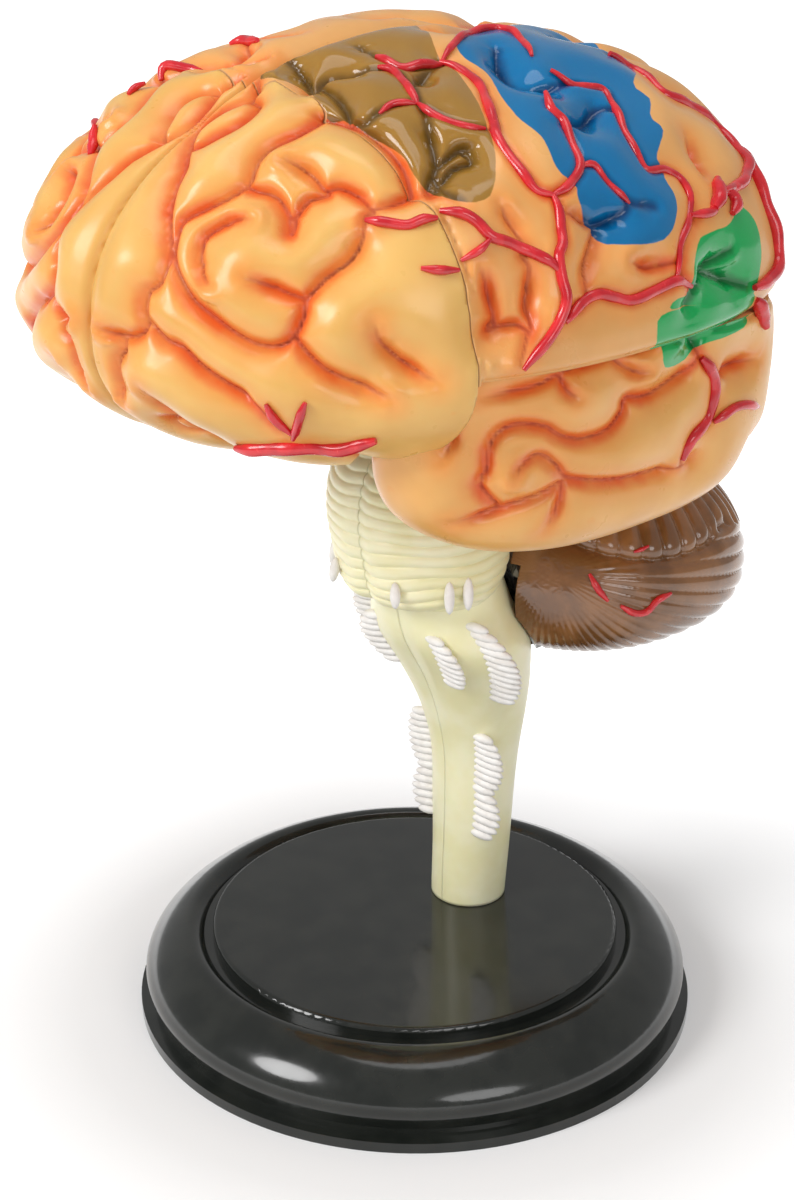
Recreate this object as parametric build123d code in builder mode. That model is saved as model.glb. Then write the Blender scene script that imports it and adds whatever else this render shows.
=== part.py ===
from build123d import *
from math import cos, pi, radians, sin
import os

import numpy as np

os.makedirs("parts", exist_ok=True)

# Take-apart model of the human brain on a round stand, in millimetres.
# +Z is up, -Y is the front of the brain and +X is its left side.
# The origin is the centre of the stand's underside, and X = 0 is the plane between the halves.

# Clearances
gap = 0.3
pin_clearance = 0.15

# Stand
flange_radius = 37.0
flange_height = 1.4
waist_radius = 35.4
waist_height = 2.4
body_radius = 36.2
body_height = 10.6
shoulder_radius = 31.0
channel_radius = 28.3
channel_depth = 1.5
disc_radius = 27.1
disc_height = 11.2
disc_edge_round = 0.6
socket_radius = 3.2
socket_depth = 6.0

# Outer forms of the brain: centre, then the reach to the side, front, back, top and bottom
dome_centre = (0.0, -2.0, 100.0)
dome_side = 41.3
dome_front = 47.2
dome_back = 46.2
dome_up = 29.8
dome_down = 18.0
dome_power = 2.15
temple_centre = (10.6, 1.9, 91.6)
temple_side = 28.5
temple_front = 30.0
temple_back = 36.2
temple_up = 14.5
temple_down = 18.0
temple_power = 2.9
cerebellum_centre = (0.0, 28.5, 57.5)
cerebellum_side = 24.0
cerebellum_front = 22.0
cerebellum_back = 19.8
cerebellum_up = 14.6
cerebellum_down = 11.5
cerebellum_power = 2.2

# Where the lobes part: a plane across the brain and a level plane
frontal_seam_y = -25.0
temporal_seam_z = 99.0

# Grooves between the folds
fold_depth = 2.2
fold_reach = 4.2
seam_depth = 1.0
seam_reach = 1.8
folia_depth = 0.55
folia_pitch = 3.8
fissure_depth = 1.5
fissure_reach = 2.2
grid_points = 92
surface_tolerance = 0.06
dome_spread = 104.0
temple_spread = 137.0

# Open space between the temporal lobes, where the stem passes
passage_y = -10.0
passage_half_width = 15.6
passage_half_length = 27.0
medial_from = (10.0, -15.0)
medial_to = (27.0, -30.4)
tip_clearance = 1.22

# Inner block of each hemisphere and the flat pieces on its inner face
core_y = 3.0
core_side = 26.0
core_length = 25.0
core_height = 17.0
layer_depth = 8.0
pin_radius = 1.5
peg_radius = 1.1
peg_length = 3.0
upper_pins = [(16.0, -6.0), (16.0, 13.0)]
upper_pin_top = 116.5
lower_pins = [(18.0, -4.0), (18.0, 13.0)]
lower_pin_end = 83.0
frontal_pins = [(24.0, 110.0), (10.0, 120.0)]
frontal_pin_length = 5.0

# Stem sections: height, centre in Y, half width in X, half depth in Y
cord_sections = [
    (disc_height, 10.1, 5.1, 5.0),
    (24.0, 10.6, 5.4, 5.3),
    (33.0, 10.9, 6.0, 5.7),
    (40.0, 10.6, 7.3, 6.4),
    (46.0, 9.3, 9.6, 7.1),
    (52.0, 7.2, 11.4, 8.0),
    (60.5, 4.6, 11.0, 8.0),
]
pons_sections = [
    (59.6, 2.2, 10.4, 8.7),
    (64.0, 2.4, 12.0, 10.3),
    (69.5, 2.0, 12.5, 11.0),
    (75.0, 1.6, 11.7, 10.2),
    (80.0, 1.2, 9.2, 8.0),
]
midbrain_sections = [
    (78.0, 1.4, 8.0, 6.6),
    (86.0, 1.6, 6.8, 5.8),
    (94.3, 1.8, 6.6, 5.6),
]
pons_ridge = 0.35
pons_ridges = 7
stem_pin_y = 3.6
stem_pin_x = 3.8
stem_pin_height = 3.6

# White ridged nerve roots: turn from the front, lowest and highest point, how far they stand out
roots = [
    (30.0, 43.5, 50.5, 2.2),
    (80.0, 42.0, 52.5, 2.4),
    (64.0, 26.5, 35.0, 2.0),
    (70.0, 20.5, 27.0, 2.0),
]
root_thickness = 2.4
root_tooth = 0.5
root_pitch = 1.3

# Grey saddle behind the stem
saddle_half_width = 9.4
saddle_front = 9.0
saddle_back = 19.2
saddle_bottom = 49.0
saddle_top = 62.0
saddle_round = 1.6
rear_pin_x = 5.0
rear_pin_z = 56.5
rear_pin_from = 24.0
rear_pin_to = 10.2

# The viewing point from which the grooves were traced, and pixels of the 795 by 1200 photograph
viewpoint = np.array((186.9, -174.4, 166.7))
view_turn = radians(47.5)
view_pitch = radians(23.2)
view_focal_px = 2200.0
view_centre_px = (397.5, 600.0)

frontal_grooves = [
    [(166, 163), (157, 184), (153, 209), (152, 230), (153, 255), (145, 283), (133, 293), (129, 309),
     (128, 332), (118, 341), (102, 338), (88, 329)],
    [(245, 92), (237, 105), (222, 115), (204, 125), (186, 135)],
    [(316, 110), (288, 125), (260, 138), (245, 153), (238, 173), (230, 182), (209, 194), (189, 204)],
    [(242, 184), (258, 188), (270, 196), (279, 212), (282, 232)],
    [(288, 212), (301, 196), (321, 189)],
    [(276, 154), (292, 160), (307, 171), (319, 184), (334, 182), (353, 190), (366, 202), (372, 211)],
    [(372, 207), (391, 202), (412, 192)],
    [(168, 217), (159, 237), (158, 260), (166, 283), (179, 304), (199, 321), (222, 337), (245, 350),
     (268, 352), (286, 342), (297, 319), (299, 303)],
    [(245, 217), (224, 217), (204, 225), (190, 237), (185, 255), (190, 273), (203, 288)],
    [(240, 278), (263, 288), (281, 296), (297, 301)],
    [(364, 215), (362, 230), (357, 243), (345, 261), (322, 278), (307, 293)],
    [(131, 325), (150, 346), (166, 354), (187, 375), (214, 394), (241, 408), (262, 424), (284, 440)],
    [(107, 354), (100, 367), (104, 389), (114, 408)],
    [(155, 428), (174, 439), (199, 443)],
    [(286, 341), (300, 359), (321, 378), (356, 392), (391, 404)],
    [(374, 327), (380, 348), (397, 365), (419, 378), (437, 385)],
    [(253, 66), (238, 84), (205, 100), (178, 122), (168, 150)],
    [(345, 112), (356, 140), (372, 150), (392, 152)],
]
parietal_grooves = [
    [(483, 267), (492, 287), (498, 307), (501, 322)],
    [(494, 336), (509, 331), (526, 330)],
    [(526, 255), (535, 266), (538, 287), (536, 310), (538, 327), (532, 345), (521, 373)],
    [(504, 203), (513, 221), (526, 241), (533, 253)],
    [(607, 230), (596, 272), (593, 293)],
    [(699, 133), (714, 157), (716, 174)],
    [(345, 33), (352, 55), (375, 66), (404, 74), (415, 98)],
    [(298, 62), (322, 74), (345, 92), (362, 118)],
    [(404, 74), (430, 62), (444, 40)],
    [(415, 98), (432, 108), (449, 116), (472, 122), (489, 122)],
    [(415, 98), (396, 112), (385, 130)],
    [(442, 50), (458, 55), (475, 65), (486, 79), (492, 99), (498, 119), (500, 133), (512, 150),
     (526, 170), (540, 187), (557, 193), (574, 182), (586, 162), (577, 136), (568, 116), (554, 105)],
    [(557, 193), (563, 210), (566, 241), (560, 255)],
    [(586, 162), (600, 162), (617, 182), (637, 201), (660, 205)],
    [(470, 140), (452, 150), (436, 166), (430, 190)],
    [(500, 40), (520, 66), (546, 78), (577, 74), (597, 77)],
    [(597, 77), (614, 82), (625, 99), (637, 125), (648, 148), (659, 165), (676, 165), (693, 173)],
    [(577, 118), (600, 112), (612, 100)],
    [(611, 52), (637, 60), (656, 71), (676, 88), (705, 102), (727, 119), (744, 142)],
    [(585, 214), (607, 222), (630, 212)],
    [(622, 298), (639, 301), (662, 292), (685, 281), (689, 255), (693, 236), (702, 213), (702, 193)],
    [(563, 318), (586, 306), (605, 295), (622, 298)],
    [(640, 262), (660, 268), (684, 262)],
]
temporal_grooves = [
    [(698, 370), (680, 385), (656, 399), (632, 402), (627, 417), (612, 435), (585, 445), (561, 442),
     (543, 432), (514, 429), (493, 438), (483, 456), (481, 477), (473, 494), (490, 515)],
    [(514, 485), (520, 471), (538, 462), (555, 474), (564, 485), (585, 490), (612, 491), (638, 488),
     (668, 481), (686, 474), (701, 465)],
    [(452, 530), (478, 524), (508, 515), (538, 505), (561, 491)],
    [(561, 491), (558, 512), (546, 533)],
    [(694, 325), (697, 340), (706, 354), (719, 367), (719, 391), (717, 412), (708, 428), (697, 439)],
    [(560, 380), (567, 393), (580, 400)],
    [(612, 355), (640, 372), (656, 372)],
    [(436, 424), (446, 440), (440, 462)],
    [(484, 398), (510, 393), (538, 386), (567, 371), (612, 356), (665, 341)],
]
horizontal_fissure = [(560, 541), (578, 546), (600, 554), (631, 560), (661, 561), (691, 555),
                      (711, 544), (725, 526)]

# Grooves out of the photograph's sight: turn from the front towards the left, and rise, in degrees
dome_unseen_grooves = [
    [(150, 4), (148, 18), (154, 32), (148, 46), (136, 58)],
    [(172, 8), (166, 20), (171, 36), (164, 50), (168, 64)],
    [(134, 12), (139, 26), (133, 38)],
    [(178, 62), (160, 72), (110, 76), (80, 80)],
    [(154, 32), (162, 28), (167, 22)],
    [(148, 46), (158, 52), (165, 52)],
    [(10, -4), (14, -12), (24, -26), (50, -44)],
    [(34, -10), (44, -24), (52, -34)],
]
temple_unseen_grooves = [
    [(118, -4), (136, -10), (156, -6), (177, -10)],
    [(112, -22), (130, -29), (150, -24), (174, -30)],
    [(146, -9), (150, -18), (148, -26)],
    [(30, -30), (50, -46), (90, -58), (130, -55), (165, -50)],
    [(20, -38), (48, -66), (110, -76), (150, -70)],
]


class Shell:
    """A closed rounded form, described by how far it reaches from its centre each way."""

    def __init__(self, centre, side, front, back, up, down, power):
        self.centre = np.array(centre)
        self.reach = (side, front, back, up, down)
        self.power = power

    def radius(self, ways, grow=0.0):
        side, front, back, up, down = self.reach
        x, y, z = ways[..., 0], ways[..., 1], ways[..., 2]
        length = np.where(y < 0, front, back) + grow
        height = np.where(z < 0, down, up) + grow
        total = abs(x / (side + grow)) ** self.power
        total = total + abs(y / length) ** self.power + abs(z / height) ** self.power
        return total ** (-1 / self.power)

    def points(self, ways, grow=0.0):
        return self.centre + ways * self.radius(ways, grow)[..., None]


dome = Shell(dome_centre, dome_side, dome_front, dome_back, dome_up, dome_down, dome_power)
temple = Shell(temple_centre, temple_side, temple_front, temple_back, temple_up, temple_down,
               temple_power)
little_brain = Shell(cerebellum_centre, cerebellum_side, cerebellum_front, cerebellum_back,
                     cerebellum_up, cerebellum_down, cerebellum_power)


def seen_through(pixel, shell):
    """The first point of a shell on the line of sight through a pixel, or the nearest to it."""
    across = (pixel[0] - view_centre_px[0]) / view_focal_px
    below = (pixel[1] - view_centre_px[1]) / view_focal_px
    away = cos(view_pitch) - sin(view_pitch) * below
    rise = -sin(view_pitch) - cos(view_pitch) * below
    sight = np.array((cos(view_turn) * across - sin(view_turn) * away,
                      sin(view_turn) * across + cos(view_turn) * away,
                      rise))
    distance = np.linalg.norm(viewpoint - shell.centre)
    steps = np.linspace(0.6, 1.4, 1601) * distance
    offset = viewpoint + sight * steps[:, None] - shell.centre
    length = np.linalg.norm(offset, axis=1)
    ways = offset / length[:, None]
    depth = length / shell.radius(ways)
    inside = np.flatnonzero(depth < 1)
    nearest = inside[0] if len(inside) else np.argmin(depth)
    return shell.points(ways[nearest])


def turned(angles, shell):
    """The point of a shell at a turn from the front towards the left and a rise."""
    turn, rise = radians(angles[0]), radians(angles[1])
    way = np.array((sin(turn) * cos(rise), -cos(turn) * cos(rise), sin(rise)))
    return shell.points(way)


def along(points, spacing=0.7):
    """Evenly spaced points of a smooth line through the given points."""
    line = Spline(*[Vector(*point) for point in points])
    count = max(2, int(line.length / spacing))
    return [tuple(line @ (i / count)) for i in range(count + 1)]


def groove_lines(shell, traced, unseen):
    lines = []
    for pixels in traced:
        lines += along([seen_through(pixel, shell) for pixel in pixels])
    for angles in unseen:
        lines += along([turned(pair, shell) for pair in angles])
    return np.array(lines)


def groove_depth(places, lines, depth, reach):
    """How deep a rounded groove along the lines lies at each place."""
    depths = np.zeros(len(places))
    for start in range(0, len(places), 400):
        part = places[start:start + 400]
        distance = np.sqrt(((part[:, None, :] - lines[None, :, :]) ** 2).sum(axis=2)).min(axis=1)
        share = np.clip(1 - distance / reach, 0, 1)
        depths[start:start + 400] = depth * share ** 1.7
    return depths


def edge_depth(distance):
    """The rounding of a lobe's edge where it meets the next one."""
    return seam_depth * np.clip(1 - abs(distance) / seam_reach, 0, 1) ** 1.7


def left_ways(widest):
    """Directions over the whole left side, spread from +X past the middle plane."""
    steps = np.linspace(-1, 1, grid_points)
    u, v = np.meshgrid(steps, steps, indexing="ij")
    a = u * np.sqrt(1 - v * v / 2)
    b = v * np.sqrt(1 - u * u / 2)
    r = np.hypot(a, b)
    spread = r * radians(widest)
    share = np.where(r < 1e-9, 1.0, np.sin(spread) / np.maximum(r, 1e-9))
    return np.stack([np.cos(spread), share * a, share * b], axis=-1)


def relief_surface(shell, relief, widest=dome_spread):
    """A smooth surface over the left side of a shell, sunk by the relief."""
    ways = left_ways(widest)
    base = shell.points(ways)
    sunk = relief(base.reshape(-1, 3)).reshape(base.shape[:2])
    places = base - ways * sunk[..., None]
    rows = [[Vector(*place) for place in row] for row in places]
    return Face.make_surface_from_array_of_points(rows, tol=surface_tolerance, min_deg=3, max_deg=5)


def block(low, high):
    """A plain block between two corners."""
    size = [high[i] - low[i] for i in range(3)]
    middle = [(high[i] + low[i]) / 2 for i in range(3)]
    with BuildPart() as body:
        with Locations(tuple(middle)):
            Box(*size)
    return body.part


def inside(body, surface, shell):
    """The part of a block within a surface: of the two halves, the one nearer the shell's centre."""
    with BuildPart() as halves:
        add(body)
        split(bisect_by=surface, keep=Keep.BOTH)
    centre = Vector(*shell.centre)
    return min(halves.part.solids(), key=lambda half: (half.center() - centre).length)


def oval_stem(sections, grow=0.0, straight=False):
    """A column through level ovals, smooth or straight from one to the next."""
    with BuildPart() as column:
        for height, y, half_width, half_depth in sections:
            with BuildSketch(Plane.XY.offset(height)):
                with Locations((0, y)):
                    Ellipse(half_width + grow, half_depth + grow)
        loft(ruled=straight)
    return column.part


def ridged_pons():
    """The pons with its cross ridges, as a column of ovals that swell and narrow."""
    heights = [section[0] for section in pons_sections]
    rows = []
    count = 2 * pons_ridges + 1
    for i in range(count):
        height = heights[0] + (heights[-1] - heights[0]) * i / (count - 1)
        y, half_width, half_depth = [
            float(np.interp(height, heights, [section[k] for section in pons_sections]))
            for k in (1, 2, 3)
        ]
        swell = pons_ridge if i % 2 else -pons_ridge
        rows.append((height, y, half_width + swell, half_depth + swell))
    return oval_stem(rows, straight=True)


def stem_at(height):
    """Centre, half width and half depth of the cord at a height."""
    heights = [section[0] for section in cord_sections]
    return [float(np.interp(height, heights, [section[k] for section in cord_sections]))
            for k in (1, 2, 3)]


def nerve_root(turn, low, high, stand_out):
    """A thin upright fin with a toothed edge, set into the cord."""
    y, half_width, half_depth = stem_at((low + high) / 2)
    edge = min(half_width, half_depth) + stand_out
    teeth = max(3, int((high - low) / root_pitch))
    pitch = (high - low) / teeth
    outline = [(edge - stand_out - 2.0, low + 0.5), (edge - stand_out, low)]
    for i in range(teeth):
        outline.append((edge - root_tooth, low + pitch * (i + 0.15)))
        outline.append((edge, low + pitch * (i + 0.4)))
        outline.append((edge, low + pitch * (i + 0.7)))
    outline += [(edge - stand_out, high), (edge - stand_out - 2.0, high - 0.5)]
    way = (sin(radians(turn)), -cos(radians(turn)), 0)
    across = (cos(radians(turn)), sin(radians(turn)), 0)
    with BuildPart() as fin:
        with BuildSketch(Plane(origin=(0, y, 0), x_dir=way, z_dir=Vector(*across) * -1)):
            with BuildLine():
                Polyline(*outline, close=True)
            make_face()
        extrude(amount=root_thickness / 2, both=True)
    return fin.part


def ring_piece(outer, inner, low_z, keep_above=True, from_y=None):
    """The section of a curved inner piece: an oval ring cut at a level."""
    Ellipse(*outer)
    Ellipse(*inner, mode=Mode.SUBTRACT)
    side = -1 if keep_above else 1
    tall = 4 * outer[1]
    with Locations((0, low_z - temporal_seam_z + side * tall / 2)):
        Rectangle(4 * outer[0], tall, mode=Mode.SUBTRACT)
    if from_y is not None:
        with Locations((from_y - core_y - 2 * outer[0], 0)):
            Rectangle(4 * outer[0], tall, mode=Mode.SUBTRACT)


def export(node, name):
    node.label = name
    export_step(node, f"parts/{name}.step")


def export_pair(left, name):
    """Write a left piece and its mirror image on the right."""
    export(left, name + "_left")
    export(mirror(left, about=Plane.YZ), name + "_right")


half = gap / 2
far = 3 * dome_front
inner_face = layer_depth - gap
deep_plane = Plane(origin=(0, core_y, temporal_seam_z), x_dir=(0, 1, 0), z_dir=(1, 0, 0))

# Stand
with BuildPart() as stand:
    with BuildSketch(Plane.XZ):
        with BuildLine():
            Polyline((0, 0), (flange_radius, 0), (flange_radius, flange_height),
                     (waist_radius, flange_height + 0.3), (waist_radius, waist_height))
            Spline((waist_radius, waist_height), (body_radius, 0.45 * body_height),
                   (shoulder_radius, body_height), (channel_radius, disc_height - channel_depth),
                   tangents=((0.3, 1), (-0.8, -1)))
            Polyline((channel_radius, disc_height - channel_depth),
                     (disc_radius, disc_height - channel_depth), (disc_radius, disc_height),
                     (0, disc_height), (0, 0))
        make_face()
    revolve(axis=Axis.Z)
    disc_rim = stand.edges().filter_by(GeomType.CIRCLE).filter_by(
        lambda edge: abs(edge.radius - disc_radius) < 0.01 and abs(edge.center().Z - disc_height) < 0.01)
    fillet(disc_rim, disc_edge_round)
    with Locations((0, cord_sections[0][1], disc_height - socket_depth / 2)):
        Cylinder(socket_radius, socket_depth, mode=Mode.SUBTRACT)
export(stand.part, "stand")

# Stem: cord, pons and midbrain in one, split down its middle
stem_form = oval_stem(cord_sections)
midbrain_form = oval_stem(midbrain_sections)
pons_form = ridged_pons()
with BuildPart() as stem_clearance:
    add(oval_stem(cord_sections, gap))
    add(oval_stem(pons_sections, gap + pons_ridge, straight=True))
stem_top = midbrain_sections[-1][0]
with BuildPart() as brainstem_left:
    add(stem_form)
    add(pons_form)
    add(midbrain_form)
    for turn, low, high, stand_out in roots:
        add(nerve_root(turn, low, high, stand_out))
    with Locations((0, cord_sections[0][1], disc_height + gap - (socket_depth + gap) / 2)):
        Cylinder(socket_radius - pin_clearance, socket_depth - gap)
    with Locations((stem_pin_x, stem_pin_y, stem_top + stem_pin_height / 2)):
        Cylinder(pin_radius - pin_clearance, stem_pin_height)
    with Locations(Location((rear_pin_x, rear_pin_to + 5 - gap, rear_pin_z), (90, 0, 0))):
        Cylinder(pin_radius, 10, mode=Mode.SUBTRACT)
    add(block((-far, -far, -far), (half, far, far)), mode=Mode.SUBTRACT)
export_pair(brainstem_left.part, "brainstem")

# Grey saddle behind the stem
with BuildPart() as fourth_ventricle:
    with BuildSketch(Plane.XZ.offset(-saddle_front)):
        with Locations((0, (saddle_bottom + saddle_top) / 2)):
            RectangleRounded(2 * saddle_half_width, saddle_top - saddle_bottom, saddle_round)
    extrude(amount=-(saddle_back - saddle_front))
    add(stem_clearance.part, mode=Mode.SUBTRACT)
    with Locations(*[Location((side * rear_pin_x, saddle_back, rear_pin_z), (90, 0, 0))
                     for side in (-1, 1)]):
        Cylinder(pin_radius, 2 * (saddle_back - saddle_front), mode=Mode.SUBTRACT)
export(fourth_ventricle.part, "fourth_ventricle")

# Cerebellum halves, with fine level ridges and the fissure round their side
fissure_line = np.array(along([seen_through(pixel, little_brain) for pixel in horizontal_fissure]
                              + [turned((165, 12), little_brain)]))


def folia(places):
    rise = (places[:, 2] - cerebellum_centre[2]) + 0.12 * (places[:, 1] - cerebellum_centre[1])
    ridges = folia_depth * (1 - np.cos(2 * pi * rise / folia_pitch)) / 2
    return ridges + groove_depth(places, fissure_line, fissure_depth, fissure_reach)


cerebellum_surface = relief_surface(little_brain, folia)
with BuildPart() as cerebellum_left:
    add(inside(block((half, -20, 30), (40, 60, 80)), cerebellum_surface, little_brain))
    add(stem_clearance.part, mode=Mode.SUBTRACT)
    add(block((-far, 0, saddle_bottom - gap), (saddle_half_width + gap, saddle_back + gap,
                                               saddle_top + gap)), mode=Mode.SUBTRACT)
    with Locations(Location((rear_pin_x, (rear_pin_from + rear_pin_to) / 2, rear_pin_z), (90, 0, 0))):
        Cylinder(pin_radius - pin_clearance, rear_pin_from - rear_pin_to)
export_pair(cerebellum_left.part, "cerebellum")

# Inner block of the hemisphere, with its pins and the pockets of its inner face
with BuildPart() as core_form:
    Sphere(1)
    scale(by=(core_side, core_length, core_height))
with BuildPart() as core_clearance:
    Sphere(1)
    scale(by=(core_side + gap, core_length + gap, core_height + gap))
core_place = Location((0, core_y, temporal_seam_z))
putamen_at = (-5.0, 1.8)
putamen_size = (8.0, 4.8)
putamen_depth = 5.0
amygdala_at = (-15.0, -7.5)
amygdala_size = (3.6, 2.8)
amygdala_depth = 4.0
caudate_outer = (17.5, 12.5)
caudate_inner = (14.2, 9.4)
caudate_depth = 4.0
caudate_low = 103.0
callosum_outer = (23.4, 15.8)
callosum_inner = (19.6, 12.4)
callosum_low = 97.0
ventricle_outer = (19.2, 12.0)
ventricle_inner = (15.8, 8.6)
ventricle_low = 98.0
hippocampus_outer = (19.0, 12.0)
hippocampus_inner = (14.5, 7.5)
hippocampus_top = 97.0
hippocampus_from_y = 9.8
thalamus_at = (2.0, 1.0)
thalamus_size = (9.5, 5.4)
callosum_peg = (0.0, 14.1)
ventricle_peg = (17.4, 2.0)
hippocampus_peg = (13.0, -8.2)
thalamus_peg = (8.0, 0.0)
pegs = [callosum_peg, ventricle_peg, hippocampus_peg, thalamus_peg]

with BuildPart() as white_core_left:
    add(core_form.part.moved(core_place))
    for x, y in upper_pins:
        with Locations((x, y, (temporal_seam_z + upper_pin_top) / 2)):
            Cylinder(pin_radius, upper_pin_top - temporal_seam_z)
    for x, y in lower_pins:
        with Locations((x, y, (temporal_seam_z + lower_pin_end) / 2)):
            Cylinder(pin_radius, temporal_seam_z - lower_pin_end)
    add(block((-far, -far, 0), (layer_depth, far, 2 * far)), mode=Mode.SUBTRACT)
    with BuildSketch(deep_plane.offset(layer_depth)):
        with Locations(putamen_at):
            Ellipse(putamen_size[0] + gap, putamen_size[1] + gap)
    extrude(amount=putamen_depth + gap, mode=Mode.SUBTRACT)
    with BuildSketch(deep_plane.offset(layer_depth)):
        with Locations(amygdala_at):
            Ellipse(amygdala_size[0] + gap, amygdala_size[1] + gap)
    extrude(amount=amygdala_depth + gap, mode=Mode.SUBTRACT)
    with BuildSketch(deep_plane.offset(layer_depth)):
        ring_piece((caudate_outer[0] + gap, caudate_outer[1] + gap),
                   (caudate_inner[0] - gap, caudate_inner[1] - gap), caudate_low - gap)
    extrude(amount=caudate_depth + gap, mode=Mode.SUBTRACT)
    with BuildSketch(deep_plane.offset(layer_depth)):
        with Locations(*pegs):
            Circle(peg_radius + pin_clearance)
    extrude(amount=peg_length + gap, mode=Mode.SUBTRACT)
export_pair(white_core_left.part, "white_core")

# Pieces that fill the pockets
with BuildPart() as putamen_left:
    with BuildSketch(deep_plane.offset(layer_depth)):
        with Locations(putamen_at):
            Ellipse(*putamen_size)
    extrude(amount=putamen_depth)
export_pair(putamen_left.part, "putamen")

with BuildPart() as amygdala_left:
    with BuildSketch(deep_plane.offset(layer_depth)):
        with Locations(amygdala_at):
            Ellipse(*amygdala_size)
    extrude(amount=amygdala_depth)
export_pair(amygdala_left.part, "amygdala")

with BuildPart() as caudate_left:
    with BuildSketch(deep_plane.offset(layer_depth)):
        ring_piece(caudate_outer, caudate_inner, caudate_low)
    extrude(amount=caudate_depth)
export_pair(caudate_left.part, "caudate")


def layer_peg(place):
    """A peg from a piece of the inner layer into the core."""
    with BuildPart() as peg:
        with BuildSketch(deep_plane.offset(inner_face - 1)):
            with Locations(place):
                Circle(peg_radius)
        extrude(amount=peg_length + 1)
    return peg.part


# Pieces of the inner layer, between the middle plane and the core
with BuildPart() as corpus_callosum_left:
    with BuildSketch(deep_plane.offset(half)):
        ring_piece(callosum_outer, callosum_inner, callosum_low)
    extrude(amount=inner_face - half)
    add(layer_peg(callosum_peg))
export_pair(corpus_callosum_left.part, "corpus_callosum")

with BuildPart() as lateral_ventricle_left:
    with BuildSketch(deep_plane.offset(half)):
        ring_piece(ventricle_outer, ventricle_inner, ventricle_low)
    extrude(amount=inner_face - half)
    add(layer_peg(ventricle_peg))
export_pair(lateral_ventricle_left.part, "lateral_ventricle")

with BuildPart() as hippocampus_left:
    with BuildSketch(deep_plane.offset(half)):
        ring_piece(hippocampus_outer, hippocampus_inner, hippocampus_top, False, hippocampus_from_y)
    extrude(amount=inner_face - half)
    add(layer_peg(hippocampus_peg))
export_pair(hippocampus_left.part, "hippocampus")

with BuildPart() as thalamus_left:
    with BuildSketch(deep_plane.offset(half)):
        with Locations(thalamus_at):
            Ellipse(*thalamus_size)
    extrude(amount=inner_face - half)
    add(layer_peg(thalamus_peg))
    with Locations((stem_pin_x, stem_pin_y, stem_top + (stem_pin_height + gap) / 2)):
        Cylinder(pin_radius, stem_pin_height + gap, mode=Mode.SUBTRACT)
export_pair(thalamus_left.part, "thalamus")

# Hypothalamus with the pituitary on its stalk, across the middle
hypothalamus_at = (-12.1, -3.2)
hypothalamus_size = (4.2, 2.9)
stalk_width = 1.8
pituitary_at = (-14.2, -10.4)
pituitary_radius = 2.3
with BuildPart() as hypothalamus:
    with BuildSketch(deep_plane):
        with Locations(hypothalamus_at):
            Ellipse(*hypothalamus_size)
    extrude(amount=inner_face, both=True)
    with BuildLine():
        stalk_path = Line(deep_plane.from_local_coords((*hypothalamus_at, 0)),
                          deep_plane.from_local_coords((*pituitary_at, 0)))
    with BuildSketch(Plane(origin=stalk_path @ 0, z_dir=stalk_path % 0)):
        Circle(stalk_width / 2)
    sweep(path=stalk_path)
    with Locations(deep_plane.from_local_coords((*pituitary_at, 0))):
        Sphere(pituitary_radius)
export(hypothalamus.part, "hypothalamus")

# Lobes: relief surfaces cut by the planes where the pieces part
dome_lines = groove_lines(dome, frontal_grooves + parietal_grooves, dome_unseen_grooves)
temple_lines = groove_lines(temple, temporal_grooves, temple_unseen_grooves)


def dome_relief(places):
    folds = groove_depth(places, dome_lines, fold_depth, fold_reach)
    across = edge_depth(places[:, 1] - frontal_seam_y)
    behind = places[:, 1] > frontal_seam_y
    level = np.where(behind, edge_depth(places[:, 2] - temporal_seam_z), 0)
    middle = edge_depth(places[:, 0])
    return np.maximum.reduce([folds, across, level, middle])


def temple_relief(places):
    folds = groove_depth(places, temple_lines, fold_depth, fold_reach)
    level = edge_depth(places[:, 2] - temporal_seam_z)
    return np.maximum(folds, level)


dome_surface = relief_surface(dome, dome_relief)
temple_surface = relief_surface(temple, temple_relief, temple_spread)


def passage(shrink):
    """The upright space between the temporal lobes, wide at the front and oval behind."""
    with BuildPart() as column:
        with BuildSketch(Plane.XY):
            with Locations((0, passage_y)):
                Ellipse(passage_half_width - shrink, passage_half_length - shrink)
            with BuildLine():
                Polyline((0, -far), (medial_to[0], -far), (medial_to[0], medial_to[1] - 1.5 * shrink),
                         (medial_from[0], medial_from[1] - 1.5 * shrink),
                         (0, medial_from[1] - 1.5 * shrink), close=True)
            make_face()
        extrude(amount=2 * far)
    return column.part


# Clear space for the tip of the temporal lobe below the frontal lobe
with BuildPart() as tip_form:
    Sphere(1)
    scale(by=tuple(tip_clearance * reach for reach in (temple_side, temple_front, temple_up)))
with BuildPart() as temple_envelope:
    add(tip_form.part.moved(Location(temple_centre)))
    add(block((-far, -far, temporal_seam_z + half), (far, far, 3 * far)), mode=Mode.SUBTRACT)
    add(passage(gap), mode=Mode.SUBTRACT)

with BuildPart() as frontal_lobe_left:
    add(inside(block((half, -far, 0), (far, frontal_seam_y - half, far)), dome_surface, dome))
    add(temple_envelope.part, mode=Mode.SUBTRACT)
    for x, z in frontal_pins:
        with Locations(Location((x, frontal_seam_y + (frontal_pin_length - 2) / 2, z), (90, 0, 0))):
            Cylinder(pin_radius - pin_clearance, frontal_pin_length + 2)
export_pair(frontal_lobe_left.part, "frontal_lobe")

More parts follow.
